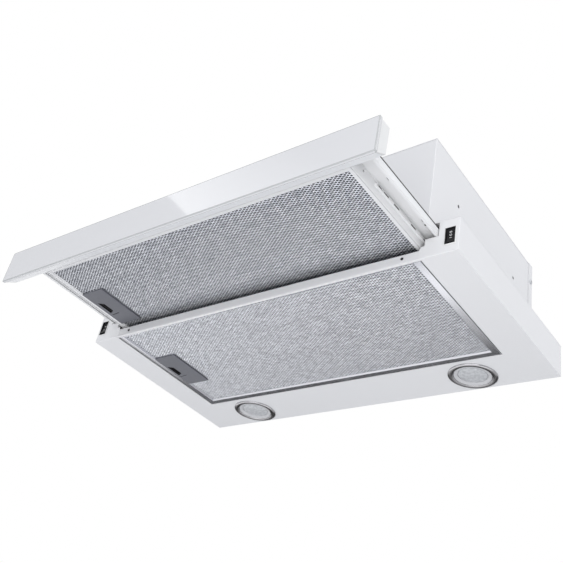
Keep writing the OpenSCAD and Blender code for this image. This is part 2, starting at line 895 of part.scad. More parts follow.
module light_ring_left() {
    color(zinc_steel) in_frame()
        mirror([1, 0, 0])
            light_ring();
}

module light_lens() {
    translate([light_x, light_y, 0]) {
        translate([0, 0, -0.6])
            cylinder(r1 = lens_d / 2 - 1, r2 = lens_d / 2, h = 0.6);
        cylinder(r = lens_d / 2, h = 2);
        translate([0, 0, 2])
            cylinder(r = light_bore_r, h = 1.5);
    }
}

module light_lens_right() {
    color(frosted_lens) in_frame()
        light_lens();
}

module light_lens_left() {
    color(frosted_lens) in_frame()
        mirror([1, 0, 0])
            light_lens();
}

module lamp_bodies() {
    color(aluminium) in_frame()
        both_sides()
            translate([light_x, light_y, 0])
                difference() {
                    union() {
                        translate([0, 0, 3.5])
                            cylinder(r = light_bore_r, h = 16.5);
                        translate([0, 0, 20])
                            cylinder(r = 12, h = 8);
                    }
                    translate([0, 0, 3])
                        cylinder(r1 = lens_d / 2 - 1, r2 = 9, h = 14);
                }
}

// Snap-in rocker switch without its rocker, which turns on two short trunnions
module switch_body() {
    lip = 1.2;
    half_w = switch_w / 2;
    half_h = switch_h / 2;
    pin_l = 1.5;
    translate([switch_x, 0, switch_z]) {
        difference() {
            union() {
                block([-half_w - lip, -0.8, -half_h - lip], [half_w + lip, 0, half_h + lip]);
                block([-half_w + 0.1, 0, -half_h + 0.1], [half_w - 0.1, switch_depth - 5, half_h - 0.1]);
                for (z = [-6, 0, 6])
                    block([-2.4, switch_depth - 5, z - 0.4], [2.4, switch_depth + 1, z + 0.4]);
            }
            block([-half_w + lip, -2, -half_h + lip], [half_w - lip, 12, half_h - lip]);
        }
        rod_x([-half_w + lip, rocker_y, 0], rocker_pin_r, pin_l);
        rod_x([half_w - lip - pin_l, rocker_y, 0], rocker_pin_r, pin_l);
    }
}

module switch_body_right() {
    color(black_plastic) in_frame()
        switch_body();
}

module switch_body_left() {
    color(black_plastic) in_frame()
        mirror([1, 0, 0])
            switch_body();
}

// Rocker cap: a shallow V whose upper and lower faces tip in turn
module rocker(tilt) {
    half_w = switch_w / 2 - 1.2 - seam;
    half_h = switch_h / 2 - 1.2 - 1.1;
    translate([switch_x, rocker_y, switch_z])
        rotate([tilt, 0, 0])
            difference() {
                along_x(-half_w, half_w)
                    polygon([
                        [-5.2, -half_h], [-4, 0], [-5.2, half_h], [-1, half_h],
                        [3.4, 3], [3.4, -3], [-1, -half_h]
                    ]);
                rod_x([-half_w - eps, 0, 0], rocker_pin_r + fit, 1.5 + eps);
                rod_x([half_w - 1.5, 0, 0], rocker_pin_r + fit, 1.5 + eps);
            }
}

module rocker_right() {
    color(black_plastic) in_frame()
        rocker(0);
}

module rocker_left() {
    color(black_plastic) in_frame()
        mirror([1, 0, 0])
            rocker(-rocker_tilt);
}

// Switch that the drawer's right channel meets when the drawer is shut
module microswitch() {
    y0 = shut_back + 9;
    x0 = channel_x0 + 4;
    color(dark_plastic) in_frame() difference() {
        block([x0, y0, plate_z - 19], [x0 + 14, y0 + 20, plate_z]);
        rod_y([x0 + 7, y0 - eps, plate_z - 14], plunger_r + fit, 6 + eps);
        block([x0 - eps, y0 + 15, plate_z - 12], [x0 + 14 + eps, y0 + 17, plate_z - 9]);
    }
}

module microswitch_plunger() {
    color(black_plastic) in_frame()
        rod_y([channel_x0 + 11, shut_back + 0.5, plate_z - 14], plunger_r, 11);
}

// Channel section of a rail member, open downwards, with lips turned inwards
module rail_section(half, z0, z1, wall, lip) {
    difference() {
        translate([-half, z0])
            square([2 * half, z1 - z0]);
        translate([-half + wall, z0 + wall])
            square([2 * (half - wall), z1 - z0 - 2 * wall]);
        translate([-half + wall + lip, z0 - eps])
            square([2 * (half - wall - lip), wall + 2 * eps]);
    }
}

module along_y(y0, y1) {
    translate([0, y1, 0])
        rotate([90, 0, 0])
            linear_extrude(height = y1 - y0)
                children();
}

module rail_fixed() {
    translate([rail_x, 0, 0])
        along_y(rail_y0, rail_y0 + rail_l)
            rail_section(rail_half, rail_bottom, plate_z, rail_wall, rail_lip);
}

module rail_fixed_right() {
    color(zinc_steel) in_frame()
        rail_fixed();
}

module rail_fixed_left() {
    color(zinc_steel) in_frame()
        mirror([1, 0, 0])
            rail_fixed();
}

module rail_middle() {
    half = rail_half - rail_wall - seam;
    z0 = rail_bottom + rail_wall + seam;
    y0 = rail_y0 + 2 - middle_out;
    translate([rail_x, 0, 0])
        along_y(y0, y0 + rail_l)
            rail_section(half, z0, plate_z - rail_wall - seam, rail_wall, rail_lip);
}

module rail_middle_right() {
    color(zinc_steel) in_frame()
        rail_middle();
}

module rail_middle_left() {
    color(zinc_steel) in_frame()
        mirror([1, 0, 0])
            rail_middle();
}

// Inner member: a head inside the middle member, a neck and a foot as wide as the channel
module rail_inner() {
    half = rail_half - 2 * rail_wall - 2 * seam;
    head_z0 = rail_bottom + 2 * (rail_wall + seam);
    head_z1 = plate_z - 2 * (rail_wall + seam);
    neck = half + seam - rail_lip;
    foot_x = channel_x0 + 2.5 - rail_x;
    translate([rail_x, 0, 0])
        along_y(panel_back + 3, drawer_back - 1.5) {
            translate([-half, head_z0])
                square([2 * half, head_z1 - head_z0]);
            translate([-neck, channel_top])
                square([2 * neck, head_z1 - channel_top]);
            translate([foot_x, channel_top])
                square([drawer_x - seam - rail_x - foot_x, rail_foot_t]);
        }
}

module rail_inner_right() {
    color(black_steel) in_frame()
        rail_inner();
}

module rail_inner_left() {
    color(black_steel) in_frame()
        mirror([1, 0, 0])
            rail_inner();
}

module glass_panel() {
    corner = 2;
    color(white_glass) in_frame()
        translate([0, glass_back, 0])
            rotate([90, 0, 0])
                linear_extrude(height = glass_t)
                    union() {
                        translate([-glass_half + corner, -glass_drop])
                            square([2 * (glass_half - corner), glass_top + glass_drop]);
                        translate([-glass_half, -glass_drop + corner])
                            square([2 * glass_half, glass_top + glass_drop - 2 * corner]);
                        for (x = [-glass_half + corner, glass_half - corner],
                                z = [corner - glass_drop, glass_top - corner])
                            translate([x, z])
                                circle(r = corner);
                    }
}

// End view of the profile behind the glass; its underside slopes up to the back
module panel_profile(inset) {
    slope = 10;
    z0 = -glass_drop + 1.5;
    z1 = glass_top - 0.8;
    polygon([
        [glass_back + inset, z0 + inset], [glass_back + inset, z1 - inset],
        [panel_back - inset, z1 - inset], [panel_back - inset, z0 + slope + inset]
    ]);
}

module panel_housing() {
    color(white_paint) in_frame() difference() {
        along_x(-panel_half, panel_half)
            panel_profile(0);
        along_x(-panel_half - eps, panel_half + eps)
            panel_profile(panel_wall);
        for (x = panel_screw_x)
            rod_y([x, panel_back - panel_wall - eps, beam_mid_z], screw_r, panel_wall + 2 * eps);
    }
}

module panel_end_cap() {
    along_x(panel_half, panel_half + 2.5)
        panel_profile(0);
    along_x(panel_half - 8, panel_half)
        difference() {
            panel_profile(panel_wall + fit);
            panel_profile(panel_wall + 1.6);
        }
}

module panel_end_cap_right() {
    color(white_plastic) in_frame()
        panel_end_cap();
}

module panel_end_cap_left() {
    color(white_plastic) in_frame()
        mirror([1, 0, 0])
            panel_end_cap();
}

// End view of the right side channel, open downwards, with a lip on its outer wall
module channel_profile() {
    translate([channel_x0, drawer_bottom])
        square([sheet, drawer_h]);
    translate([channel_x0, channel_top - sheet])
        square([channel_w, sheet]);
    translate([drawer_x - sheet, channel_bottom])
        square([sheet, channel_h]);
    translate([drawer_x - channel_lip, channel_bottom])
        square([channel_lip, sheet]);
}

module drawer_side() {
    cap_y = panel_back + channel_cap_d;
    strip_y = panel_back + stiffener_from_front;
    strip_x = channel_x0 + sheet + stiffener_t;
    slot_z = channel_bottom + 1;
    difference() {
        union() {
            along_y(panel_back, drawer_back)
                channel_profile();
            block([channel_x0, drawer_back - sheet, channel_bottom], [drawer_x, drawer_back, channel_top]);
            block([channel_x0, panel_back, channel_bottom], [drawer_x, cap_y, channel_bottom + sheet]);
            block([channel_x0, cap_y - sheet, channel_bottom], [drawer_x, cap_y, channel_top]);
            translate([0, 0, channel_bottom])
                linear_extrude(height = stiffener_h)
                    polygon([
                        [channel_x0 + sheet, strip_y], [strip_x, strip_y + stiffener_t],
                        [strip_x, drawer_back], [channel_x0 + sheet, drawer_back]
                    ]);
        }
        for (d = slot_from_front)
            block([channel_x0 - eps, panel_back + d - slot_l / 2, slot_z],
                [strip_x + eps, panel_back + d + slot_l / 2, slot_z + slot_h]);
        rod_x([channel_x0 - eps, panel_back + 30.5, channel_bottom + 2.5], 1.3, sheet + 2 * eps);
        for (d = ceiling_slot_from_front)
            block([drawer_x - ceiling_inset - 0.7, panel_back + d - 2.5, channel_top - sheet - eps],
                [drawer_x - ceiling_inset + 0.7, panel_back + d + 2.5, channel_top + eps]);
        rod_z([drawer_x - ceiling_inset, panel_back + ceiling_hole_from_front, channel_top - sheet - eps],
            ceiling_hole_r, sheet + 2 * eps);
    }
}

module drawer_frame() {
    pin_x = front_filter_l / 2 - hinge_inset;
    pin_z = front_filter_z + hinge_up;
    front_y = panel_back + beam_front_d;
    rear_y = drawer_back - beam_rear_d;
    latch_y = front_filter_y + front_filter_d / 2;
    latch_z = front_filter_z + latch_up;
    color(white_paint) in_frame() {
        difference() {
            both_sides()
                drawer_side();
            block([-channel_x0 - sheet - eps, latch_y - latch_w / 2 - seam, latch_z - seam],
                [-channel_x0 + eps, latch_y + latch_w / 2 + seam, latch_z + latch_t + seam]);
        }
        difference() {
            union() {
                difference() {
                    block([-channel_x0, panel_back, drawer_bottom], [channel_x0, front_y, channel_top]);
                    block([-channel_x0 - eps, panel_back + sheet, drawer_bottom + sheet],
                        [channel_x0 + eps, front_y - sheet, channel_top + eps]);
                }
                difference() {
                    block([-channel_x0, rear_y, drawer_bottom],
                        [channel_x0, drawer_back, drawer_bottom + beam_rear_h]);
                    block([-channel_x0 - eps, rear_y + sheet, drawer_bottom + sheet],
                        [channel_x0 + eps, drawer_back - sheet, drawer_bottom + beam_rear_h + eps]);
                }
            }
            rod_y([pin_x, front_y - sheet - eps, pin_z], hinge_pin_r + fit, sheet + 2 * eps);
            rod_y([pin_x, rear_y - eps, pin_z], hinge_pin_r + fit, sheet + 2 * eps);
            for (x = panel_screw_x)
                rod_y([x, panel_back - eps, beam_mid_z], screw_r, sheet + 2 * eps);
        }
    }
}

module drawer_cover() {
    outer_x = channel_x0 + sheet;
    color(white_paint) in_frame() difference() {
        block([-outer_x, panel_back, channel_top], [outer_x, panel_back + cover_d, cover_top]);
        block([-channel_x0, panel_back + sheet, channel_top - eps],
            [channel_x0, panel_back + cover_d + eps, cover_top - sheet]);
    }
}

module panel_screws() {
    color(zinc_steel) in_frame()
        for (x = panel_screw_x)
            translate([x, panel_back + sheet, beam_mid_z])
                rotate([90, 0, 0])
                    screw(sheet + panel_wall + 1);
}

// Hollow rim of a filter, with hinge pins at its right end
module filter_frame(l, d, rim, y0, z0, gap) {
    half = l / 2;
    pin_x = half - hinge_inset;
    pin_l = gap + pin_reach;
    mid_y = y0 + d / 2;
    difference() {
        block([-half, y0, z0], [half, y0 + d, z0 + filter_t]);
        block([-half + rim, y0 + rim, z0 - eps], [half - rim, y0 + d - rim, z0 + filter_t + eps]);
        block([-half + rim_t, y0 + rim_t, z0 + rim_t],
            [half - rim_t, y0 + d - rim_t, z0 + filter_t - rim_t]);
        block([-half - eps, mid_y - latch_w / 2 - seam, z0 + latch_up - seam],
            [-half + rim + eps, mid_y + latch_w / 2 + seam, z0 + latch_up + latch_t + seam]);
    }
    rod_y([pin_x, y0 - pin_l, z0 + hinge_up], hinge_pin_r, pin_l);
    rod_y([pin_x, y0 + d, z0 + hinge_up], hinge_pin_r, pin_l);
}

// Expanded metal sheet with diamond openings, held in the rim
module filter_mesh(l, d, rim, y0, z0) {
    half = l / 2 - rim_t;
    mid_y = y0 + d / 2;
    open_l = l - 2 * (rim + mesh_border);
    open_d = d - 2 * (rim + mesh_border);
    pitch_x = open_l / mesh_columns;
    pitch_y = open_d / mesh_rows;
    translate([0, mid_y, z0 + rim_t])
        linear_extrude(height = mesh_t)
            difference() {
                translate([-half, -d / 2 + rim_t])
                    square([2 * half, d - 2 * rim_t]);
                for (row = [0:mesh_rows - 1], column = [0:mesh_columns - 1])
                    let (
                        x = (column + 0.5) * pitch_x - open_l / 2,
                        y = (row + 0.5) * pitch_y - open_d / 2,
                        at_handle = x - pitch_x / 2 < rim + handle_w - l / 2
                            && abs(y) - pitch_y / 2 < handle_l / 2
                    )
                        if (!at_handle)
                            translate([x, y])
                                polygon([
                                    [mesh_web - pitch_x / 2, 0], [0, mesh_web - pitch_y / 2],
                                    [pitch_x / 2 - mesh_web, 0], [0, pitch_y / 2 - mesh_web]
                                ]);
                translate([-half - eps, -handle_l / 2])
                    square([half + eps - l / 2 + rim + handle_w, handle_l]);
            }
}

// Plastic plate at the filter's left end with the pocket of the sliding bolt
module filter_handle(l, d, rim, y0, z0) {
    handle_t = filter_t - 0.5;
    half_l = handle_l / 2;
    half_w = latch_w / 2;
    inner = rim + 1.5;
    translate([-l / 2, y0 + d / 2, z0])
        difference() {
            block([rim, -half_l, 0], [rim + handle_w, half_l, handle_t]);
            block([rim - eps, -half_w - seam, latch_up - seam],
                [latch_len + latch_travel + 1, half_w + seam, latch_up + latch_t + seam]);
            rod_x([latch_len, 0, latch_up + latch_t / 2], spring_r + seam, spring_len);
            block([inner, -finger_l / 2, -eps], [inner + finger_w + latch_travel, finger_l / 2, latch_up]);
            block([inner, -finger_l / 2, latch_up], [inner + finger_w, finger_l / 2, handle_t - 0.8]);
        }
}

// Sliding bolt with the finger opening; its nose reaches past the filter's left end
module filter_latch(l, d, rim, y0, z0) {
    inner = rim + 1.5;
    translate([-l / 2, y0 + d / 2, z0])
        difference() {
            block([-latch_nose, -latch_w / 2, latch_up], [latch_len, latch_w / 2, latch_up + latch_t]);
            block([inner, -finger_l / 2, 0], [inner + finger_w - 2, finger_l / 2, filter_t]);
        }
}

module latch_spring(l, d, y0, z0) {
    rod_x([-l / 2 + latch_len, y0 + d / 2, z0 + latch_up + latch_t / 2], spring_r, spring_len);
}

module rear_filter_frame() {
    color(aluminium) in_frame()
        filter_frame(rear_filter_l, rear_filter_d, rear_filter_rim, rear_filter_y, 0, 1);
}

module rear_filter_mesh() {
    color(aluminium) in_frame()
        filter_mesh(rear_filter_l, rear_filter_d, rear_filter_rim, rear_filter_y, 0);
}

module rear_filter_handle() {
    color(dark_plastic) in_frame()
        filter_handle(rear_filter_l, rear_filter_d, rear_filter_rim, rear_filter_y, 0);
}

module rear_filter_latch() {
    color(dark_plastic) in_frame()
        filter_latch(rear_filter_l, rear_filter_d, rear_filter_rim, rear_filter_y, 0);
}

module rear_latch_spring() {
    color(zinc_steel) in_frame()
        latch_spring(rear_filter_l, rear_filter_d, rear_filter_y, 0);
}

module front_filter_frame() {
    color(white_paint) in_frame()
        filter_frame(front_filter_l, front_filter_d, front_filter_rim, front_filter_y,
            front_filter_z, filter_gap);
}

module front_filter_mesh() {
    color(aluminium) in_frame()
        filter_mesh(front_filter_l, front_filter_d, front_filter_rim, front_filter_y, front_filter_z);
}

module front_filter_handle() {
    color(dark_plastic) in_frame()
        filter_handle(front_filter_l, front_filter_d, front_filter_rim, front_filter_y, front_filter_z);
}

module front_filter_latch() {
    color(dark_plastic) in_frame()
        filter_latch(front_filter_l, front_filter_d, front_filter_rim, front_filter_y, front_filter_z);
}

module front_latch_spring() {
    color(zinc_steel) in_frame()
        latch_spring(front_filter_l, front_filter_d, front_filter_y, front_filter_z);
}

base_pan();
base_top_plate();
front_crossbar();
housing_wrap();
housing_rear_panel();
housing_top_panel();
sheet_screws();
duct_collar();
flap_pin();
scroll_right();
scroll_left();
outlet_adapter();
motor_bracket();
motor_body();
motor_bearings();
capacitor();
control_box();
control_box_lid();
terminal_block();
cable_gland();
wiring();
light_ring_right();
light_ring_left();
light_lens_right();
light_lens_left();
lamp_bodies();
switch_body_right();
switch_body_left();
microswitch();
rail_fixed_right();
rail_fixed_left();
flap_front();
flap_rear();
rotor_shaft();
impeller_right();
impeller_left();
rocker_right();
rocker_left();
microswitch_plunger();
rear_filter_frame();
rear_filter_mesh();
rear_filter_handle();
rear_filter_latch();
rear_latch_spring();
glass_panel();
panel_housing();
panel_end_cap_right();
panel_end_cap_left();
drawer_frame();
drawer_cover();
panel_screws();
rail_inner_right();
rail_inner_left();
rail_middle_right();
rail_middle_left();
front_filter_frame();
front_filter_mesh();
front_filter_handle();
front_filter_latch();
front_latch_spring();
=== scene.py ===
"""Looks of the telescopic range hood: finished pieces, materials, light and camera around its frame."""
import json
import math

import bmesh
import bpy
from mathutils import Matrix, Vector

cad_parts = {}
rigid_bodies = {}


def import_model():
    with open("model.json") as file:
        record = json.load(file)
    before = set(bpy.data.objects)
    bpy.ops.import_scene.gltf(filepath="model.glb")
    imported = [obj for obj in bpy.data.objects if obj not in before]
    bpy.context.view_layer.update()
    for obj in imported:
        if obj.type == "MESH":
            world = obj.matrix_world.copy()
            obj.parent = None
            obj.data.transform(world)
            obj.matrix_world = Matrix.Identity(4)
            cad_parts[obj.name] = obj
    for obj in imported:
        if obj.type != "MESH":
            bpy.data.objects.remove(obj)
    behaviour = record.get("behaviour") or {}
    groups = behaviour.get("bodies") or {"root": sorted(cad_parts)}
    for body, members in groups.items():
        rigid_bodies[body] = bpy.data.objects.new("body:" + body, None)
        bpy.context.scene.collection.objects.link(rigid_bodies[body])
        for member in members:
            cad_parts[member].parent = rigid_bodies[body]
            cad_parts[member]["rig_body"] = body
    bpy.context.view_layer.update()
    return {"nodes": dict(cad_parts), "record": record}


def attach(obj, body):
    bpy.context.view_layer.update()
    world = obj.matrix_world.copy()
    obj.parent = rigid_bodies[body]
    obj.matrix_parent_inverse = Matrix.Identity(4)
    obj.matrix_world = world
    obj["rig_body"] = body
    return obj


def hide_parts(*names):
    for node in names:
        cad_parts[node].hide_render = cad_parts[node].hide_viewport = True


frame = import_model()
nodes = frame["nodes"]

# The workshop's own measures are millimetres: x across the hood, y back from its front, z up from its
# underside. The frame's origin is the mouth of the duct outlet.
DUCT_MOUTH = Vector((0, 150, 230))
MILLIMETRE = 0.001
TO_FRAME = Matrix.Diagonal((MILLIMETRE, MILLIMETRE, MILLIMETRE, 1)) @ Matrix.Translation(-DUCT_MOUTH)
TO_SHOP = TO_FRAME.inverted()
MIRROR = Matrix.Diagonal((-1, 1, 1, 1))
SIDES = (("right", Matrix()), ("left", MIRROR))


def place(x, y, z):
    """A workshop point in the frame's metres."""
    return TO_FRAME @ Vector((x, y, z))


# Nodes that the finishes are made of


def feed(tree, value, socket):
    """Links a socket to another node's output, or sets it to a plain value."""
    if isinstance(value, bpy.types.NodeSocket):
        tree.links.new(value, socket)
    else:
        socket.default_value = value


def math_node(tree, operation, a, b, clamp=False):
    node = tree.nodes.new("ShaderNodeMath")
    node.operation = operation
    node.use_clamp = clamp
    feed(tree, a, node.inputs[0])
    feed(tree, b, node.inputs[1])
    return node.outputs[0]


def object_coordinates(tree, stretch=None):
    coordinates = tree.nodes.new("ShaderNodeTexCoord").outputs["Object"]
    if stretch is None:
        return coordinates
    mapping = tree.nodes.new("ShaderNodeMapping")
    mapping.inputs["Scale"].default_value = stretch
    tree.links.new(coordinates, mapping.inputs["Vector"])
    return mapping.outputs["Vector"]


def noise_node(tree, vector, scale, detail, roughness=0.5):
    node = tree.nodes.new("ShaderNodeTexNoise")
    for label, value in (("Vector", vector), ("Scale", scale), ("Detail", detail), ("Roughness", roughness)):
        feed(tree, value, node.inputs[label])
    return node.outputs["Fac"]


def cells_node(tree, scale, feature="F1"):
    """Voronoi cells on object coordinates."""
    node = tree.nodes.new("ShaderNodeTexVoronoi")
    node.feature = feature
    feed(tree, object_coordinates(tree), node.inputs["Vector"])
    feed(tree, scale, node.inputs["Scale"])
    return node


def range_node(tree, value, low, high, out_low, out_high):
    """Maps low to out_low and high to out_high, and holds those values past them."""
    node = tree.nodes.new("ShaderNodeMapRange")
    for label, given in (
        ("Value", value), ("From Min", low), ("From Max", high), ("To Min", out_low), ("To Max", out_high),
    ):
        feed(tree, given, node.inputs[label])
    return node.outputs["Result"]


def mix_color(tree, factor, a, b):
    node = tree.nodes.new("ShaderNodeMix")
    node.data_type = "RGBA"
    feed(tree, factor, node.inputs["Factor"])
    feed(tree, a, node.inputs["A"])
    feed(tree, b, node.inputs["B"])
    return node.outputs["Result"]


def scaled_color(tree, color, scale):
    """A colour made lighter or darker by a factor."""
    node = tree.nodes.new("ShaderNodeVectorMath")
    node.operation = "SCALE"
    feed(tree, color, node.inputs[0])
    feed(tree, scale, node.inputs["Scale"])
    return node.outputs[0]


def bump(tree, height, distance, normal=None):
    """Relief whose full height is a distance in metres."""
    node = tree.nodes.new("ShaderNodeBump")
    node.inputs["Distance"].default_value = distance
    feed(tree, height, node.inputs["Height"])
    if normal is not None:
        feed(tree, normal, node.inputs["Normal"])
    return node.outputs["Normal"]


# Effects that several finishes share


def new_group(name, inputs, outputs):
    tree = bpy.data.node_groups.new(name, "ShaderNodeTree")
    for label, kind, default in inputs:
        socket = tree.interface.new_socket(name=label, in_out="INPUT", socket_type="NodeSocket" + kind)
        socket.default_value = default
    for label, kind in outputs:
        tree.interface.new_socket(name=label, in_out="OUTPUT", socket_type="NodeSocket" + kind)
    return tree, tree.nodes.new("NodeGroupInput").outputs, tree.nodes.new("NodeGroupOutput").inputs


def tone_group():
    """Colour that drifts a little over the surface, with faint smudges in its roughness."""
    tree, given, result = new_group(
        "surface_tone",
        [("Color", "Color", (0.8, 0.8, 0.8, 1)), ("Drift", "Float", 0.03), ("Roughness", "Float", 0.4),
         ("Smudge", "Float", 0.05), ("Scale", "Float", 9.0)],
        [("Color", "Color"), ("Roughness", "Float")],
    )
    where = object_coordinates(tree)
    slow = noise_node(tree, where, given["Scale"], 3.0)
    fine = noise_node(tree, where, math_node(tree, "MULTIPLY", given["Scale"], 9.0), 4.0, 0.6)
    drift = math_node(tree, "MULTIPLY", math_node(tree, "SUBTRACT", slow, 0.5), given["Drift"])
    feed(tree, scaled_color(tree, given["Color"], math_node(tree, "ADD", drift, 1.0)), result["Color"])
    smudge = math_node(tree, "MULTIPLY", math_node(tree, "SUBTRACT", fine, 0.5), given["Smudge"])
    feed(tree, math_node(tree, "ADD", given["Roughness"], smudge, clamp=True), result["Roughness"])
    return tree


def wear_group():
    """Mask that is 1 on exposed edges and corners, broken up by a fine noise."""
    tree, given, result = new_group(
        "edge_wear",
        [("Radius", "Float", 0.0006), ("Breakup", "Float", 300.0), ("Amount", "Float", 1.0)],
        [("Mask", "Float"), ("Normal", "Vector")],
    )
    bevel = tree.nodes.new("ShaderNodeBevel")
    bevel.samples = 6
    feed(tree, given["Radius"], bevel.inputs["Radius"])
    geometry = tree.nodes.new("ShaderNodeNewGeometry")
    dot = tree.nodes.new("ShaderNodeVectorMath")
    dot.operation = "DOT_PRODUCT"
    feed(tree, bevel.outputs[0], dot.inputs[0])
    feed(tree, geometry.outputs["Normal"], dot.inputs[1])
    edge = range_node(tree, dot.outputs["Value"], 0.995, 0.85, 0.0, 1.0)
    broken = noise_node(tree, object_coordinates(tree), given["Breakup"], 3.0, 0.7)
    mask = math_node(tree, "MULTIPLY", edge, range_node(tree, broken, 0.42, 0.62, 0.0, 1.0))
    feed(tree, math_node(tree, "MULTIPLY", mask, given["Amount"], clamp=True), result["Mask"])
    feed(tree, bevel.outputs[0], result["Normal"])
    return tree


def peel_group():
    """Height of a sprayed coat: a fine orange peel over a very slow waviness of the sheet."""
    tree, given, result = new_group("coat_peel", [("Scale", "Float", 700.0)], [("Height", "Float")])
    where = object_coordinates(tree)
    peel = noise_node(tree, where, given["Scale"], 1.0)
    wave = noise_node(tree, where, math_node(tree, "MULTIPLY", given["Scale"], 0.02), 1.0)
    feed(tree, math_node(tree, "ADD", peel, math_node(tree, "MULTIPLY", wave, 5.0)), result["Height"])
    return tree


def grain_group():
    """Moulding grain of plastics: small cells with soft hollows between them."""
    tree, given, result = new_group("moulded_grain", [("Scale", "Float", 1800.0)], [("Height", "Float")])
    cells = cells_node(tree, given["Scale"], "SMOOTH_F1")
    feed(tree, cells.outputs["Distance"], result["Height"])
    return tree


def lines_group():
    """Lines of a rolled or brushed metal, in its colour and in its height."""
    tree, given, result = new_group(
        "rolled_lines",
        [("Color", "Color", (0.7, 0.7, 0.7, 1)), ("Contrast", "Float", 0.12), ("Roughness", "Float", 0.35)],
        [("Color", "Color"), ("Roughness", "Float"), ("Height", "Float")],
    )
    lines = noise_node(tree, object_coordinates(tree, (60, 2400, 2400)), 1.0, 4.0, 0.65)
    patches = noise_node(tree, object_coordinates(tree), 30.0, 3.0)
    most = math_node(tree, "MULTIPLY", lines, 0.7)
    both = math_node(tree, "ADD", most, math_node(tree, "MULTIPLY", patches, 0.3))
    swing = math_node(tree, "SUBTRACT", both, 0.5)
    scale = math_node(tree, "ADD", math_node(tree, "MULTIPLY", swing, given["Contrast"]), 1.0)
    feed(tree, scaled_color(tree, given["Color"], scale), result["Color"])
    uneven = math_node(tree, "MULTIPLY", swing, 0.25)
    feed(tree, math_node(tree, "ADD", given["Roughness"], uneven, clamp=True), result["Roughness"])
    feed(tree, both, result["Height"])
    return tree


TONE, WEAR, PEEL, GRAIN, LINES = tone_group(), wear_group(), peel_group(), grain_group(), lines_group()


# Finishes: colours are linear, and radii and reliefs are in metres

PAINT = {}
WHITE = (0.748, 0.747, 0.752)
ENAMEL_ROUGHNESS = 0.36


def new_material(name, slot=None):
    """Nodes of a new material, which PAINT keeps under its slot's name, or else under its own."""
    material = bpy.data.materials.new(name)
    material.use_nodes = True
    PAINT[slot or name] = material
    return material.node_tree, material.node_tree.nodes["Principled BSDF"]


def group_node(tree, group, **values):
    node = tree.nodes.new("ShaderNodeGroup")
    node.node_tree = group
    for label, value in values.items():
        node.inputs[label].default_value = value
    return node


def surface(tree, shader, color, roughness, normal):
    """Gives a shader its three main inputs."""
    for value, label in ((color, "Base Color"), (roughness, "Roughness"), (normal, "Normal")):
        feed(tree, value, shader.inputs[label])


def coated_material(name, color, roughness, peel=700.0, relief=0.000012, radius=0.0006, wear=0.25,
                    worn=(0.93, 0.93, 0.94)):
    """Sprayed and baked coat on sheet steel."""
    tree, shader = new_material(name)
    tone = group_node(tree, TONE, Color=(*color, 1), Drift=0.03, Roughness=roughness, Smudge=0.06)
    edges = group_node(tree, WEAR, Radius=radius, Amount=wear)
    height = group_node(tree, PEEL, Scale=peel)
    surface(tree, shader,
            mix_color(tree, edges.outputs["Mask"], tone.outputs["Color"], (*worn, 1)),
            tone.outputs["Roughness"],
            bump(tree, height.outputs["Height"], relief, edges.outputs["Normal"]))


def painted_shade_enamel(name, color, shade_span):
    """Enamel with painted shade, whose tone falls off along x: shade_span holds two places in metres and the
    factor at each.
    """
    coated_material(name, color, ENAMEL_ROUGHNESS)
    tree = PAINT[name].node_tree
    paint = tree.nodes["Principled BSDF"].inputs["Base Color"]
    split = tree.nodes.new("ShaderNodeSeparateXYZ")
    feed(tree, object_coordinates(tree), split.inputs[0])
    full = paint.links[0].from_socket
    feed(tree, scaled_color(tree, full, range_node(tree, split.outputs["X"], *shade_span)), paint)


def plastic_material(name, color, roughness, grain=1800.0, relief=0.00003, wear=0.35, worn=None,
                     specular=0.5):
    """Moulded plastic with its grain and slightly polished edges."""
    tree, shader = new_material(name)
    tone = group_node(tree, TONE, Color=(*color, 1), Drift=0.12, Roughness=roughness, Smudge=0.14, Scale=25.0)
    edges = group_node(tree, WEAR, Radius=0.0004, Breakup=700.0, Amount=wear)
    lighter = worn or tuple(min(1.0, part * 1.5 + 0.02) for part in color)
    height = group_node(tree, GRAIN, Scale=grain)
    surface(tree, shader,
            mix_color(tree, edges.outputs["Mask"], tone.outputs["Color"], (*lighter, 1)),
            tone.outputs["Roughness"],
            bump(tree, height.outputs["Height"], relief, edges.outputs["Normal"]))
    shader.inputs["Specular IOR Level"].default_value = specular


def metal_material(name, color, roughness, contrast=0.15, radius=0.0003):
    """Rolled, drawn or plated metal."""
    tree, shader = new_material(name)
    lines = group_node(tree, LINES, Color=(*color, 1), Contrast=contrast, Roughness=roughness)
    edges = group_node(tree, WEAR, Radius=radius, Breakup=500.0, Amount=0.5)
    bright = tuple(min(1.0, part * 1.15 + 0.03) for part in color)
    surface(tree, shader,
            mix_color(tree, edges.outputs["Mask"], lines.outputs["Color"], (*bright, 1)),
            lines.outputs["Roughness"],
            bump(tree, lines.outputs["Height"], 0.00001, edges.outputs["Normal"]))
    shader.inputs["Metallic"].default_value = 1.0


def glass_front_material():
    """White back-painted glass: a flat white under a polished clear face."""
    tree, shader = new_material("white_back_painted_glass", "white_glass")
    tone = group_node(tree, TONE, Color=(0.65, 0.65, 0.66, 1), Drift=0.012, Roughness=0.05, Smudge=0.02,
                      Scale=4.0)
    edges = group_node(tree, WEAR, Radius=0.0005, Amount=0.0)
    surface(tree, shader, tone.outputs["Color"], tone.outputs["Roughness"], edges.outputs["Normal"])
    shader.inputs["IOR"].default_value = 1.52


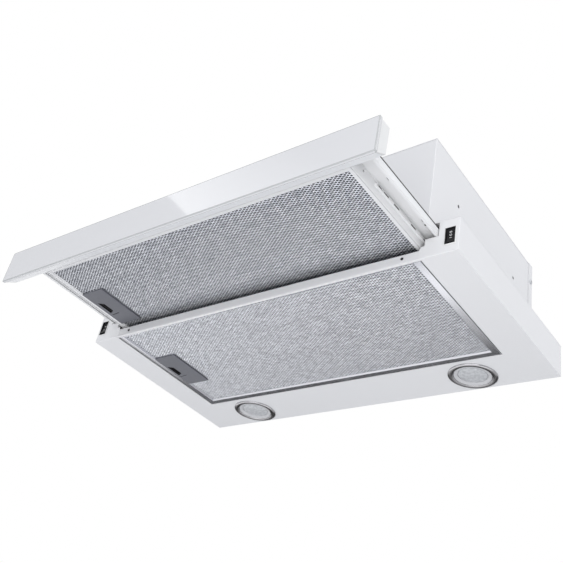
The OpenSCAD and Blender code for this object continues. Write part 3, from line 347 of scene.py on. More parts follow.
def frosted_lens_material():
    """Frosted light cover: milky, with fine dimples that catch the light."""
    tree, shader = new_material("frosted_lens", "frosted_glass")
    dimples = cells_node(tree, 420.0).outputs["Distance"]
    cloud = range_node(tree, noise_node(tree, object_coordinates(tree), 230.0, 3.0), 0.35, 0.65, 0.0, 1.0)
    surface(tree, shader,
            mix_color(tree, cloud, (0.43, 0.44, 0.455, 1), (0.59, 0.60, 0.615, 1)),
            range_node(tree, dimples, 0.0, 0.6, 0.2, 0.4),
            bump(tree, dimples, 0.0004))
    shader.inputs["Coat Weight"].default_value = 0.4
    shader.inputs["Coat Roughness"].default_value = 0.08


def strand_material():
    """Cut and stretched aluminium: small patches of strands are painted lighter or darker at random, as
    painted sheen for strands that catch the light differently.
    """
    tree, shader = new_material("strand_aluminium")
    split = tree.nodes.new("ShaderNodeSeparateColor")
    feed(tree, cells_node(tree, 330.0).outputs["Color"], split.inputs[0])
    lines = group_node(tree, LINES, Contrast=0.2)
    surface(tree, shader,
            mix_color(tree, split.outputs[0], (0.57, 0.585, 0.63, 1), (0.94, 0.955, 1.0, 1)),
            range_node(tree, split.outputs[1], 0.0, 1.0, 0.34, 0.54),
            bump(tree, lines.outputs["Height"], 0.00001))
    shader.inputs["Metallic"].default_value = 1.0


def depth_shade_material():
    """Near-black sheet deep inside a filter, painted shade for the filter's dark depth, with small painted
    lit and shaded patches.
    """
    tree, shader = new_material("filter_packing")
    creases = cells_node(tree, 260.0).outputs["Distance"]
    shade = range_node(tree, creases, 0.1, 0.7, 0.0, 1.0)
    surface(tree, shader,
            mix_color(tree, shade, (0.03, 0.03, 0.037, 1), (0.012, 0.012, 0.015, 1)),
            0.5,
            bump(tree, creases, 0.0008))
    shader.inputs["Metallic"].default_value = 0.6


coated_material("white_enamel", WHITE, ENAMEL_ROUGHNESS)
# A lighter copy of the white enamel for the drawer's frame: painted light that brightens its shaded side
# channels.
coated_material("drawer_enamel", (0.802, 0.802, 0.803), ENAMEL_ROUGHNESS)
# The crossbar's enamel is painted darker toward its left end: painted shade where less light reaches it.
painted_shade_enamel("crossbar_enamel", WHITE, (-0.2, 0.2, 0.86, 0.98))
# Finer and lighter white for the panel housing; its extra lightness is painted light that brightens the
# housing's underside.
coated_material("white_enamel_fine", (0.87, 0.872, 0.88), 0.3, peel=900.0)
coated_material("glass_edge", (0.46, 0.47, 0.47), 0.12, wear=0.0, relief=0.000002)
# Light grey for the lights' ring step: a painted reflection in place of the metal's light band.
coated_material("ring_step", (0.56, 0.56, 0.57), 0.3)
coated_material("mark_white", (0.8, 0.8, 0.8), 0.5, wear=0.0)
coated_material("black_steel", (0.022, 0.022, 0.025), 0.42, radius=0.0002, wear=0.3, worn=(0.12, 0.12, 0.13))
plastic_material("white_plastic", (0.76, 0.76, 0.75), 0.42, wear=0.2, worn=(0.85, 0.85, 0.84))
plastic_material("dark_grey_plastic", (0.13, 0.133, 0.152), 0.52)
plastic_material("black_plastic", (0.012, 0.012, 0.0135), 0.32, grain=2600.0, relief=0.00001, wear=0.1,
                 specular=0.13)
plastic_material("fan_plastic", (0.045, 0.045, 0.05), 0.48)
plastic_material("lead_insulation", (0.03, 0.03, 0.032), 0.5)
metal_material("zinc_steel", (0.56, 0.57, 0.6), 0.34)
metal_material("satin_ring", (0.42, 0.415, 0.43), 0.14, contrast=0.06)
metal_material("bearing_steel", (0.5, 0.46, 0.36), 0.45)
metal_material("aluminium", (0.53, 0.535, 0.57), 0.2, contrast=0.1)
# Near-black copy of the strand aluminium for the filters' inner sheets: painted shade deep inside the
# filters.
metal_material("inner_strands", (0.07, 0.072, 0.085), 0.5, contrast=0.3, radius=0.0001)
strand_material()
depth_shade_material()
glass_front_material()
frosted_lens_material()


# Tools for the pieces

FLAT_FACE_WEIGHT = 80


def node_slot(name):
    for part in frame["record"]["subparts"]:
        if part["node"] == name:
            return part["material_slot"]
    return None


def finish_piece(name, bm, body, paint, slot, replaces=(), smooth=32.0, in_frame=False, recalc=True,
                 flat_faces=True):
    """Turns a bmesh in workshop millimetres into a finished piece that rides on its body.

    Edges that turn by more than smooth, in degrees, stay sharp. The last three say whether the bmesh is in
    the frame's metres already, whether its outside is worked out, and whether flat faces are shaded flat.
    """
    if not in_frame:
        moved(bm, TO_FRAME)
    bmesh.ops.remove_doubles(bm, verts=bm.verts, dist=1e-7)
    if recalc:
        bmesh.ops.recalc_face_normals(bm, faces=bm.faces)
    mesh = new_mesh(name, bm)
    mesh.shade_smooth()
    mesh.set_sharp_from_angle(angle=math.radians(smooth))
    for finish in [paint] if isinstance(paint, str) else paint:
        mesh.materials.append(PAINT[finish])
    piece = new_object(name, mesh)
    if flat_faces:
        weighted = piece.modifiers.new("flat_faces", "WEIGHTED_NORMAL")
        weighted.weight = FLAT_FACE_WEIGHT
        weighted.keep_sharp = True
    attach(piece, body)
    for node in replaces:
        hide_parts(node)


def stand_for(node, bm, paint, **more):
    """A finished piece in place of a node, on the node's body."""
    finish_piece("finished_" + node, bm, nodes[node]["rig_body"], paint, node_slot(node), [node], **more)


def new_mesh(name, bm):
    """A mesh made of a bmesh, which is used up."""
    mesh = bpy.data.meshes.new(name)
    bm.to_mesh(mesh)
    bm.free()
    return mesh


def new_object(name, data):
    made = bpy.data.objects.new(name, data)
    bpy.context.scene.collection.objects.link(made)
    return made


def moved(bm, matrix):
    bmesh.ops.transform(bm, matrix=matrix, verts=bm.verts)
    return bm


def box(bm, low, high):
    """A block between two corners."""
    low, high = Vector(low), Vector(high)
    made = bmesh.ops.create_cube(bm, size=1.0)["verts"]
    size = Matrix.Diagonal((*(high - low), 1))
    bmesh.ops.transform(bm, matrix=Matrix.Translation((low + high) / 2) @ size, verts=made)
    return made


def soften(bm, edges, width, segments=2):
    bmesh.ops.bevel(bm, geom=list(edges), offset=width, offset_type="OFFSET", segments=segments, profile=0.5,
                    affect="EDGES", clamp_overlap=True, material=-1)


def edges_of(verts):
    return list({edge for vert in verts for edge in vert.link_edges})


def edges_along(edges, axis):
    """The edges that run more than a millimetre along an axis."""
    return [edge for edge in edges if abs((edge.verts[0].co - edge.verts[1].co)[axis]) > 1]


def soft_box(bm, low, high, width, segments=2):
    soften(bm, edges_of(box(bm, low, high)), width, segments)


def largest_facing(bm, direction, level=None):
    """The largest face that looks in a direction, at a level along it when one is given."""
    direction = Vector(direction)
    bm.normal_update()
    found = [face for face in bm.faces if face.normal.dot(direction) > 0.99]
    if level is not None:
        found = [face for face in found if abs(face.calc_center_median().dot(direction) - level) < 0.05]
    return max(found, key=lambda face: face.calc_area())


def lathe(bm, outline, steps=64, closed=True):
    """Turns an outline of radii and heights about the z axis."""
    verts = [bm.verts.new((radius, 0, height)) for radius, height in outline]
    pairs = list(zip(verts, verts[1:])) + ([(verts[-1], verts[0])] if closed else [])
    edges = [bm.edges.new(pair) for pair in pairs]
    bmesh.ops.spin(bm, geom=verts + edges, cent=(0, 0, 0), axis=(0, 0, 1), angle=2 * math.pi, steps=steps,
                   use_merge=True, use_duplicate=False)
    bmesh.ops.remove_doubles(bm, verts=bm.verts, dist=1e-4)


def stamp(bm, shape, matrices):
    """Adds copies of a small shape to a piece, and uses the shape up."""
    bmesh.ops.recalc_face_normals(shape, faces=shape.faces)
    mesh = new_mesh("stamp", shape)
    for matrix in matrices:
        mesh.transform(matrix)
        bm.from_mesh(mesh)
        mesh.transform(matrix.inverted())
    bpy.data.meshes.remove(mesh)


def at(x, y, z, toward, turn):
    """A place for a shape: its z axis is turned toward a direction, and it is turned about it in degrees."""
    aim = Vector(toward).to_track_quat("Z", "Y").to_matrix().to_4x4()
    return Matrix.Translation((x, y, z)) @ aim @ Matrix.Rotation(math.radians(turn), 4, "Z")


def cut_out(bm, cutters):
    """Takes the cutters' shapes out of a piece, and uses all of them up."""
    for shape in (bm, *cutters):
        bmesh.ops.recalc_face_normals(shape, faces=shape.faces)
    target = new_object("cut", new_mesh("cut", bm))
    tools = [new_object("cutter", new_mesh("cutter", cutter)) for cutter in cutters]
    for tool in tools:
        modifier = target.modifiers.new("cut", "BOOLEAN")
        modifier.operation = "DIFFERENCE"
        modifier.solver = "EXACT"
        modifier.object = tool
    result = bmesh.new()
    result.from_object(target, bpy.context.evaluated_depsgraph_get())
    for item in (target, *tools):
        mesh = item.data
        bpy.data.objects.remove(item)
        bpy.data.meshes.remove(mesh)
    return result


# Main sizes of both grease filters, in millimetres: half width, front and rear end, underside, visible rim at
# the sides and at the front, lip around the opening, diamond grid and strand of the outer sheet, slope of its
# strands along x and y, and where the nick and the finger recess lie across the handle plate

REAR = {
    "x": 250.0,
    "y": (4.0, 221.0),
    "z": 0.0,
    "rim": 9.0,
    "front": 1.4,
    "lip": 2.0,
    "grid": (6.02, 4.10),
    "strand": 0.84,
    "tilt": (-0.12, 0.0),
    "nick": (3.0, 17.0),
    "recess": (3.6, 12.6),
    "paint": "aluminium",
}
FRONT = {
    "x": 248.0,
    "y": (-146.0, 57.0),
    "z": 18.5,
    "rim": 4.5,
    "front": 4.5,
    "lip": 1.2,
    "grid": (6.02, 3.91),
    "strand": 0.60,
    "tilt": (0.0, 0.1),
    "nick": (5.5, 20.0),
    "recess": (6.6, 15.2),
    "paint": "white_enamel",
}


# Sheet metal, boxes and end caps keep the shapes of their nodes and get bend radii

SHORTEST_FOLD = 0.002
FLATTEST_FOLD = math.radians(35)
RIM_RISE = 0.55


def face_width(face):
    """Mean width of a face: its area over its longest edge."""
    return face.calc_area() / max(edge.calc_length() for edge in face.edges)


def fold_rounded(node, paint, outer, inner, narrow=0.0025, shape=None):
    """The node's sheet with real bend radii: wide faces meet in a fold, and narrow ones are cut edges."""
    bm = bmesh.new()
    bm.from_mesh(nodes[node].data)
    if shape:
        shape(bm)
    bmesh.ops.remove_doubles(bm, verts=bm.verts, dist=1e-6)
    bmesh.ops.dissolve_limit(bm, angle_limit=math.radians(0.4), verts=bm.verts, edges=bm.edges)
    width = {face: face_width(face) for face in bm.faces}
    folds = {outer: [], inner: []}
    for edge in bm.edges:
        if len(edge.link_faces) != 2 or edge.calc_length() < SHORTEST_FOLD:
            continue
        angle = edge.calc_face_angle_signed(0.0)
        if abs(angle) >= FLATTEST_FOLD and min(width[face] for face in edge.link_faces) >= narrow:
            folds[outer if angle > 0 else inner].append(edge)
    for radius, edges in folds.items():
        soften(bm, [edge for edge in edges if edge.is_valid], radius, 3)
    stand_for(node, bm, paint, in_frame=True)


def sloped_rim(bm):
    """Lets the rear filter's rim rise a little toward its outer edge, and narrows it behind the crossbar."""
    side = REAR["x"] - REAR["rim"]
    front, rear = REAR["y"][0] + REAR["rim"], REAR["y"][1] - REAR["rim"]
    for vert in bm.verts:
        x, y, z = TO_SHOP @ vert.co
        on_underside = z < 0.7
        at_front_of_opening = abs(y - front) < 0.9 and abs(x) < side + 0.5
        if on_underside:
            outward = max(abs(x) - side, front - y, y - rear) / REAR["rim"]
            vert.co.z += MILLIMETRE * RIM_RISE * max(0.0, min(1.0, outward))
        if at_front_of_opening:
            vert.co.y -= MILLIMETRE * (REAR["rim"] - REAR["front"])


# Node, finish, bend radius outside and inside, and the width below which a face is a cut edge, in metres
for fold in (
    ("base_pan", "white_enamel", 0.0012, 0.0005),
    ("base_top_plate", "white_enamel", 0.0006, 0.0003),
    ("front_crossbar", "crossbar_enamel", 0.0008, 0.0003, 0.0015),
    ("housing_wrap", "white_enamel", 0.0030, 0.0005),
    ("housing_rear_panel", "white_enamel", 0.0008, 0.0005),
    ("housing_top_panel", "white_enamel", 0.0008, 0.0005),
    ("drawer_cover", "white_enamel", 0.0008, 0.0004),
    ("panel_housing", "white_enamel_fine", 0.0008, 0.0004),
    ("panel_end_cap_right", "white_plastic", 0.0006, 0.0003, 0.0015),
    ("panel_end_cap_left", "white_plastic", 0.0006, 0.0003, 0.0015),
    ("front_filter_frame", "white_enamel", 0.0006, 0.0003),
    ("control_box", "white_plastic", 0.0012, 0.0006),
    ("control_box_lid", "white_plastic", 0.0008, 0.0004, 0.0015),
    ("microswitch", "dark_grey_plastic", 0.0005, 0.0003, 0.0015),
):
    fold_rounded(*fold)
fold_rounded("rear_filter_frame", "aluminium", 0.0006, 0.0003, shape=sloped_rim)


# The drawer's rails have an upturned lip along their foot

RAIL_LIP = ((270.3, -153.0, 38.2), (271.7, 66.5, 39.8))

for side, mirror in SIDES:
    rail = bmesh.new()
    rail.from_mesh(nodes["rail_inner_" + side].data)
    moved(rail, TO_SHOP)
    ends = sorted((mirror @ Vector(corner)).x for corner in RAIL_LIP)
    soft_box(rail, (ends[0], *RAIL_LIP[0][1:]), (ends[1], *RAIL_LIP[1][1:]), 0.15, 1)
    stand_for("rail_inner_" + side, rail, "black_steel")


# Black blocks in the slots of the drawer's side channels and a black dot in each channel's ceiling: painted
# shade inside the slots and a hole

DRAWER_FRONT = -156.0
WALL_SLOTS = ((61, 2.6), (74, 4.6), (96, 5.4), (134, 5.4), (163, 5.4))
CEILING_SLOTS = ((58, 2.6), (135, 2.6))
HOLE_SHADE_DOT = (263, -13)


def channel_slot_shade():
    """Painted shade of one channel: black blocks in its slots and a black dot for a hole in its ceiling; a
    slot is its place behind the drawer's front and half its length.
    """
    bm = bmesh.new()
    for slots, (x0, z0), (x1, z1), width in (
        (WALL_SLOTS, (249.3, 28.55), (252.75, 30.45), 0.15),
        (CEILING_SLOTS, (262.2, 36.2), (263.9, 37.6), 0.1),
    ):
        for back, half in slots:
            y = DRAWER_FRONT + back
            soft_box(bm, (x0, y - half, z0), (x1, y + half, z1), width, 1)
    hole_dot = bmesh.new()
    lathe(hole_dot, ((0.0, 36.0), (1.8, 36.0), (1.8, 37.6), (0.0, 37.6)), 24, closed=False)
    stamp(bm, hole_dot, [Matrix.Translation((*HOLE_SHADE_DOT, 0))])
    return bm


for side, mirror in SIDES:
    finish_piece("channel_plugs_" + side, moved(channel_slot_shade(), mirror), nodes["drawer_frame"]["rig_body"],
                 "black_plastic", "black_plastic")


# Filters: expanded metal in layers over a near-black sheet of painted shade, in a rim with a bent lip

# How far the sheets reach behind the rim; an opening's share along x where the strands join; and a strand's
# height as a share of its width
UNDER_RIM = 0.8
BOND = 0.86
STRAND_RISE = 0.45
COARSE_GRID, COARSE_STRAND = (9.1, 6.3), 1.5
LIP_RISE, HIDDEN_LIP = 2.0, 2.0
# Heights of the near-black sheet that paints the shade deep inside each filter
DEPTH_SHADE_SHEET = (6.2, 7.2)
# Handle plate: width, length, thickness, how far it stands proud, and how far the sheets reach behind it
HANDLE_W, HANDLE_L, HANDLE_T = 40.0, 80.0, 8.0
HANDLE_PROUD, HANDLE_LAP = 0.3, 3.0


def within(vert, low, high):
    """Whether a vertex lies between two corners, seen along z."""
    return low[0] < vert.co.x < high[0] and low[1] < vert.co.y < high[1]


def expanded_sheet(low, high, z, pitch, strand, tilt, hole):
    """Expanded metal: diamond openings between tilted strands that widen where they join."""
    bm = bmesh.new()
    count = math.ceil((high[0] - low[0]) / pitch[0] + (high[1] - low[1]) / pitch[1]) + 2
    bmesh.ops.create_grid(bm, x_segments=count, y_segments=count, size=count / 2)
    moved(bm, Matrix((
        (pitch[0] / 2, pitch[0] / 2, 0, (low[0] + high[0]) / 2),
        (pitch[1] / 2, -pitch[1] / 2, 0, (low[1] + high[1]) / 2),
        (0, 0, 1, z),
        (0, 0, 0, 1),
    )))
    around = ((low[0] - pitch[0], low[1] - pitch[1]), (high[0] + pitch[0], high[1] + pitch[1]))
    bmesh.ops.delete(bm, geom=[vert for vert in bm.verts if not within(vert, *around)], context="VERTS")
    bmesh.ops.delete(bm, geom=[vert for vert in bm.verts if within(vert, *hole)], context="VERTS")
    cells = bm.faces[:]
    bmesh.ops.inset_individual(bm, faces=cells, thickness=strand / 2, use_even_offset=True)
    for cell in cells:
        middle = cell.calc_center_median()
        for vert in cell.verts:
            offset = vert.co - middle
            vert.co.x = middle.x + offset.x * BOND
            vert.co.z += tilt[0] * offset.x + tilt[1] * offset.y
    openings = bmesh.ops.extrude_discrete_faces(bm, faces=cells)["faces"]
    walls = list({vert for face in openings for vert in face.verts})
    bmesh.ops.translate(bm, vec=(0, 0, strand * STRAND_RISE), verts=walls)
    bmesh.ops.delete(bm, geom=openings, context="FACES_ONLY")
    for point, normal in (
        ((low[0], 0, 0), (-1, 0, 0)),
        ((high[0], 0, 0), (1, 0, 0)),
        ((0, low[1], 0), (0, -1, 0)),
        ((0, high[1], 0), (0, 1, 0)),
    ):
        bmesh.ops.bisect_plane(bm, geom=bm.verts[:] + bm.edges[:] + bm.faces[:], plane_co=point,
                               plane_no=normal, clear_outer=True, dist=1e-5)
    return bm


def bent_lip(low, high, z, width):
    """Lip that rises around the opening; its front part hides above the rim."""
    bm = bmesh.new()
    face = bmesh.ops.create_grid(bm, x_segments=1, y_segments=1, size=0.5)["verts"][0].link_faces[0]
    wide = high[0] - low[0] - 2 * UNDER_RIM
    deep = high[1] - low[1] - 2 * UNDER_RIM + HIDDEN_LIP
    middle = Matrix.Translation((0, (low[1] + high[1] - HIDDEN_LIP) / 2, z))
    moved(bm, middle @ Matrix.Diagonal((wide, deep, 1, 1)))
    bmesh.ops.inset_region(bm, faces=[face], thickness=width, use_even_offset=True, use_boundary=True)
    bmesh.ops.translate(bm, verts=face.verts, vec=(0, 0, LIP_RISE))
    bmesh.ops.delete(bm, geom=[face], context="FACES")
    return bm


def filter_layers(name, sizes):
    """Three sheets of expanded metal with a hole for the handle plate, the rim's lip, and a near-black sheet
    of painted shade.
    """
    reach, z = sizes["rim"] - UNDER_RIM, sizes["z"]
    low = (reach - sizes["x"], sizes["y"][0] + sizes["front"] - UNDER_RIM)
    high = (sizes["x"] - reach, sizes["y"][1] - reach)
    middle = sum(sizes["y"]) / 2
    half = HANDLE_L / 2 - HANDLE_LAP
    plate_end = sizes["rim"] - sizes["x"] + HANDLE_W
    hole = ((-math.inf, middle - half), (plate_end - HANDLE_LAP, middle + half))
    mesh_node = name + "_mesh"
    body, slot = nodes[mesh_node]["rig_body"], node_slot(mesh_node)
    for layer, height, grid, strand, tilt, paint, replaces in (
        ("_outer_layer", 2.2, sizes["grid"], sizes["strand"], sizes["tilt"], "strand_aluminium", [mesh_node]),
        # The inner sheet is painted dark: painted shade deep in the filter.
        ("_inner_layer", 4.9, COARSE_GRID, COARSE_STRAND, (0.0, 0.2), "inner_strands", []),
        ("_back_layer", 7.4, COARSE_GRID, COARSE_STRAND, (0.0, 0.0), "strand_aluminium", []),
    ):
        sheet = expanded_sheet(low, high, z + height, grid, strand, tilt, hole)
        finish_piece(name + layer, sheet, body, paint, slot, replaces, recalc=False, flat_faces=False)
    finish_piece(name + "_lip", bent_lip(low, high, z, sizes["lip"]), body, sizes["paint"],
                 node_slot(name + "_frame"), recalc=False)
    # A near-black sheet deep in the filter: painted shade where the filter is dark in its depth.
    depth_shade_sheet = bmesh.new()
    box(depth_shade_sheet, (*low, z + DEPTH_SHADE_SHEET[0]), (*high, z + DEPTH_SHADE_SHEET[1]))
    finish_piece(name + "_packing", depth_shade_sheet, body, "filter_packing", slot)


# Handle plates with a slanted finger recess and a nick beside it, and the bolts behind them

# The recess's ends along y on its side near the rim and on its far side; the nick's, and its slant over its
# length; the bolt's half width, its thickness, and how far it lies behind the filter's underside
RECESS_NEAR, RECESS_FAR, RECESS_DEPTH = (-15.3, 11.8), (-10.5, 7.7), 7.2
NICK_Y, NICK_DEPTH, NICK_SLANT = (15.6, 16.5), 0.6, 1.2
BOLT_Y, BOLT_T, BOLT_BACK = 12.0, 3.0, 1.3
SLACK = 0.1


def in_span(value, low, high):
    return low - SLACK < value < high + SLACK


def plate_edge(sizes):
    """The middle of the handle plate's outer edge, on the filter's underside."""
    return Vector((sizes["rim"] - sizes["x"], sum(sizes["y"]) / 2, sizes["z"]))


def handle_plate(sizes):
    """Moulded plate with its recess and nick, whose faces are painted black as painted shade inside them;
    measured from its edge.
    """
    bm = bmesh.new()
    verts = box(bm, (0, -HANDLE_L / 2, -HANDLE_PROUD), (HANDLE_W, HANDLE_L / 2, HANDLE_T))
    soften(bm, edges_along(edges_of(verts), 2), 1.6, 5)
    bmesh.ops.inset_region(bm, faces=[largest_facing(bm, (0, 0, -1))], thickness=1.2, use_even_offset=True)
    bm.normal_update()
    rims = [edge for edge in bm.edges if edge.is_manifold and edge.calc_face_angle(0) > 1.2]
    soften(bm, [edge for edge in rims if min(vert.co.z for vert in edge.verts) < 0], 0.5, 3)
    recess = bmesh.new()
    box(recess, (0, 0, -2), (1, 1, RECESS_DEPTH))
    for vert in recess.verts:
        far, back = int(vert.co.x > 0.5), int(vert.co.y > 0.5)
        vert.co.x = sizes["recess"][far]
        vert.co.y = (RECESS_NEAR, RECESS_FAR)[far][back]
    nick = bmesh.new()
    box(nick, (sizes["nick"][0], NICK_Y[0], -2), (sizes["nick"][1], NICK_Y[1], NICK_DEPTH))
    for vert in nick.verts:
        if vert.co.x > sizes["nick"][0] + 1:
            vert.co.y -= NICK_SLANT
    plate = cut_out(bm, [recess, nick])
    for face in plate.faces:
        x, y, z = face.calc_center_median()
        deep = NICK_DEPTH + SLACK < z < RECESS_DEPTH + SLACK
        shallow = SLACK - HANDLE_PROUD < z < NICK_DEPTH + SLACK
        beside = in_span(y, NICK_Y[0] - NICK_SLANT, NICK_Y[1])
        if deep and in_span(x, *sizes["recess"]) or shallow and beside and in_span(x, *sizes["nick"]):
            # Black inside the recess and the nick: painted shade
            face.material_index = 1
    return plate


def bolt():
    """Sliding bolt with softened edges and an opening for a finger; measured from the filter's left edge."""
    bm = bmesh.new()
    soft_box(bm, (-4.5, -BOLT_Y, 0), (25, BOLT_Y, BOLT_T), 0.4)
    opening = bmesh.new()
    box(opening, (14.5, -8, 1.2), (21.5, 8, -1))
    return cut_out(bm, [opening])


for name, sizes in (("rear_filter", REAR), ("front_filter", FRONT)):
    filter_layers(name, sizes)
    edge = plate_edge(sizes)
    stand_for(name + "_handle", moved(handle_plate(sizes), Matrix.Translation(edge)),
              ["dark_grey_plastic", "black_plastic"], smooth=40)
    left = edge + Vector((-sizes["rim"], 0, BOLT_BACK))
    stand_for(name + "_latch", moved(bolt(), Matrix.Translation(left)), "black_plastic", smooth=40)


# Lights: a turned ring with a stepped, conical inside, and a dimpled lens; outlines hold radii and heights

LIGHT = (191.0, 261.0)
# Between these radii the ring's step is painted a light grey: a painted reflection of the light band that the
# metal step shows
RING_STEP = (20.4, 25.4)
RING_OUTLINE = (
    (34.0, 0.0), (33.9, -0.9), (33.5, -1.4), (32.6, -1.75), (31.0, -1.9), (28.5, -1.85), (26.9, -1.6),
    (26.5, -1.2), (26.35, -0.7), (25.9, -0.6), (25.5, -0.8), (25.2, -1.1), (24.6, -1.15), (23.9, -0.9),
    (21.6, 0.35), (20.9, 0.6), (20.5, 0.9), (20.5, 1.9), (26.0, 1.9), (26.0, 14.0), (30.5, 14.0), (30.5, 0.0),
)
LENS_OUTLINE = (
    (0.0, -0.55), (4.0, -0.52), (8.0, -0.42), (12.0, -0.25), (15.5, 0.0), (18.0, 0.25), (19.2, 0.5),
    (19.8, 0.9), (20.0, 1.5), (20.0, 2.0), (26.0, 2.0), (26.0, 3.5), (0.0, 3.5),
)

for side, mirror in SIDES:
    seat = mirror @ Matrix.Translation((*LIGHT, 0))
    ring = bmesh.new()
    lathe(ring, RING_OUTLINE, 72)
    for face in ring.faces:
        if RING_STEP[0] < face.calc_center_median().xy.length < RING_STEP[1]:
            face.material_index = 1
    stand_for("light_ring_" + side, moved(ring, seat), ["satin_ring", "ring_step"], smooth=24)
    lens = bmesh.new()
    lathe(lens, LENS_OUTLINE, closed=False)
    stand_for("light_lens_" + side, moved(lens, seat), "frosted_glass", smooth=35)


# Rocker switches, measured from the middle of each switch on the base's front

SWITCH = (288.0, 22.5)
# The flange's half width and half height, its thickness, and the width of its white edge
FLANGE_X, FLANGE_Z, FLANGE_T, FLANGE_EDGE = 7.7, 12.7, 0.9, 0.8
# Each step goes inward from the outline before it, and back along y
WELL_STEPS = ((0.85, 0.0), (0.3, 0.35), (0.05, 12.2))
BODY_STEPS = ((0.85, 0.0), (0.0, 18.6), (0.4, 0.4))
# The rocker's axis behind the base's front, its half width and half height, and its tilt in degrees
AXIS_Y = 5.0
ROCKER_X, ROCKER_Z = 5.0, 9.2
TILTS = {"right": 0.0, "left": -9.0}
# Marks and their heights over the axis; a bar's half width and half height, and the pitch of a pair
MARKS = {"right": (("II", 5.6), ("0", 1.6), ("I", -2.4)), "left": (("0", 3.8), ("I", -3.4))}
BAR_X, BAR_Z, BAR_PITCH = 1.5, 0.275, 1.1
MARK_PROUD, MARK_SUNK = 0.08, 0.3


def stepped(bm, face, steps):
    """Insets a face and moves it along y, once for each step."""
    for inward, depth in steps:
        bmesh.ops.inset_region(bm, faces=[face], thickness=inward, use_even_offset=True)
        bmesh.ops.translate(bm, vec=(0, depth, 0), verts=face.verts)


def switch_shell():
    """Snap-in body with a softened flange, its dark well and its blade terminals."""
    bm = bmesh.new()
    soft_box(bm, (-FLANGE_X, -FLANGE_T, -FLANGE_Z), (FLANGE_X, 0.0, FLANGE_Z), 0.45, 3)
    front = largest_facing(bm, (0, -1, 0))
    stepped(bm, front, ((FLANGE_EDGE, 0.0),))
    front.material_index = 1
    stepped(bm, front, WELL_STEPS)
    back = largest_facing(bm, (0, 1, 0), 0.0)
    back.material_index = 1
    stepped(bm, back, BODY_STEPS)
    for z in (-6, 0, 6):
        soft_box(bm, (-2.4, 18.5, z - 0.4), (2.4, 25.0, z + 0.4), 0.15)
    return bm


def rocker_front(z):
    """Where the rocker's hollowed front lies along y, at a height from its axis."""
    return -4.15 - 1.05 * (z / ROCKER_Z) ** 2


def rocker_cap():
    """Rocker with a hollowed front; its turning axis is x through the middle."""
    bm = bmesh.new()
    front = [bm.verts.new((-ROCKER_X, rocker_front(z), z)) for z in [ROCKER_Z * i / 7 for i in range(-7, 8)]]
    back = [bm.verts.new((-ROCKER_X, y, z)) for y, z in ((-1.0, 9.2), (3.4, 3.0), (3.4, -3.0), (-1.0, -9.2))]
    side = bm.faces.new(front + back)
    grown = bmesh.ops.extrude_face_region(bm, geom=[side])["geom"]
    far = [item for item in grown if isinstance(item, bmesh.types.BMVert)]
    bmesh.ops.translate(bm, vec=(2 * ROCKER_X, 0, 0), verts=far)
    ends = [edge for edge in bm.edges if abs(edge.verts[0].co.x - edge.verts[1].co.x) < 0.1]
    soften(bm, ends, 0.35)
    return bm


def rocker_marks(marks):
    """Printed position marks, a hair proud of the rocker's front: bars across it and a ring."""
    bm = bmesh.new()
    for kind, z in marks:
        if kind == "0":
            ring = bmesh.new()
            lathe(ring, ((1.0, 0.0), (1.55, 0.0), (1.55, 0.4), (1.0, 0.4)), 20)
            flat = Matrix.Rotation(math.radians(-90), 4, "X")
            stamp(bm, ring, [Matrix.Translation((0, rocker_front(z) - MARK_PROUD, z)) @ flat])
            continue
        for i in range(len(kind)):
            bar = z + (i - (len(kind) - 1) / 2) * BAR_PITCH
            y = rocker_front(bar)
            box(bm, (-BAR_X, y - MARK_PROUD, bar - BAR_Z), (BAR_X, y + MARK_SUNK, bar + BAR_Z))
    return bm


for side, mirror in SIDES:
    seat = mirror @ Matrix.Translation((SWITCH[0], 0, SWITCH[1]))
    axis = seat @ Matrix.Translation((0, AXIS_Y, 0)) @ Matrix.Rotation(math.radians(TILTS[side]), 4, "X")
    rocker = "rocker_" + side
    stand_for("switch_body_" + side, moved(switch_shell(), seat), ["white_plastic", "black_plastic"])
    stand_for(rocker, moved(rocker_cap(), axis), "black_plastic", smooth=28)
    finish_piece("rocker_marks_" + side, moved(rocker_marks(MARKS[side]), axis), nodes[rocker]["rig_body"],
                 "mark_white", node_slot(rocker))


# Screws


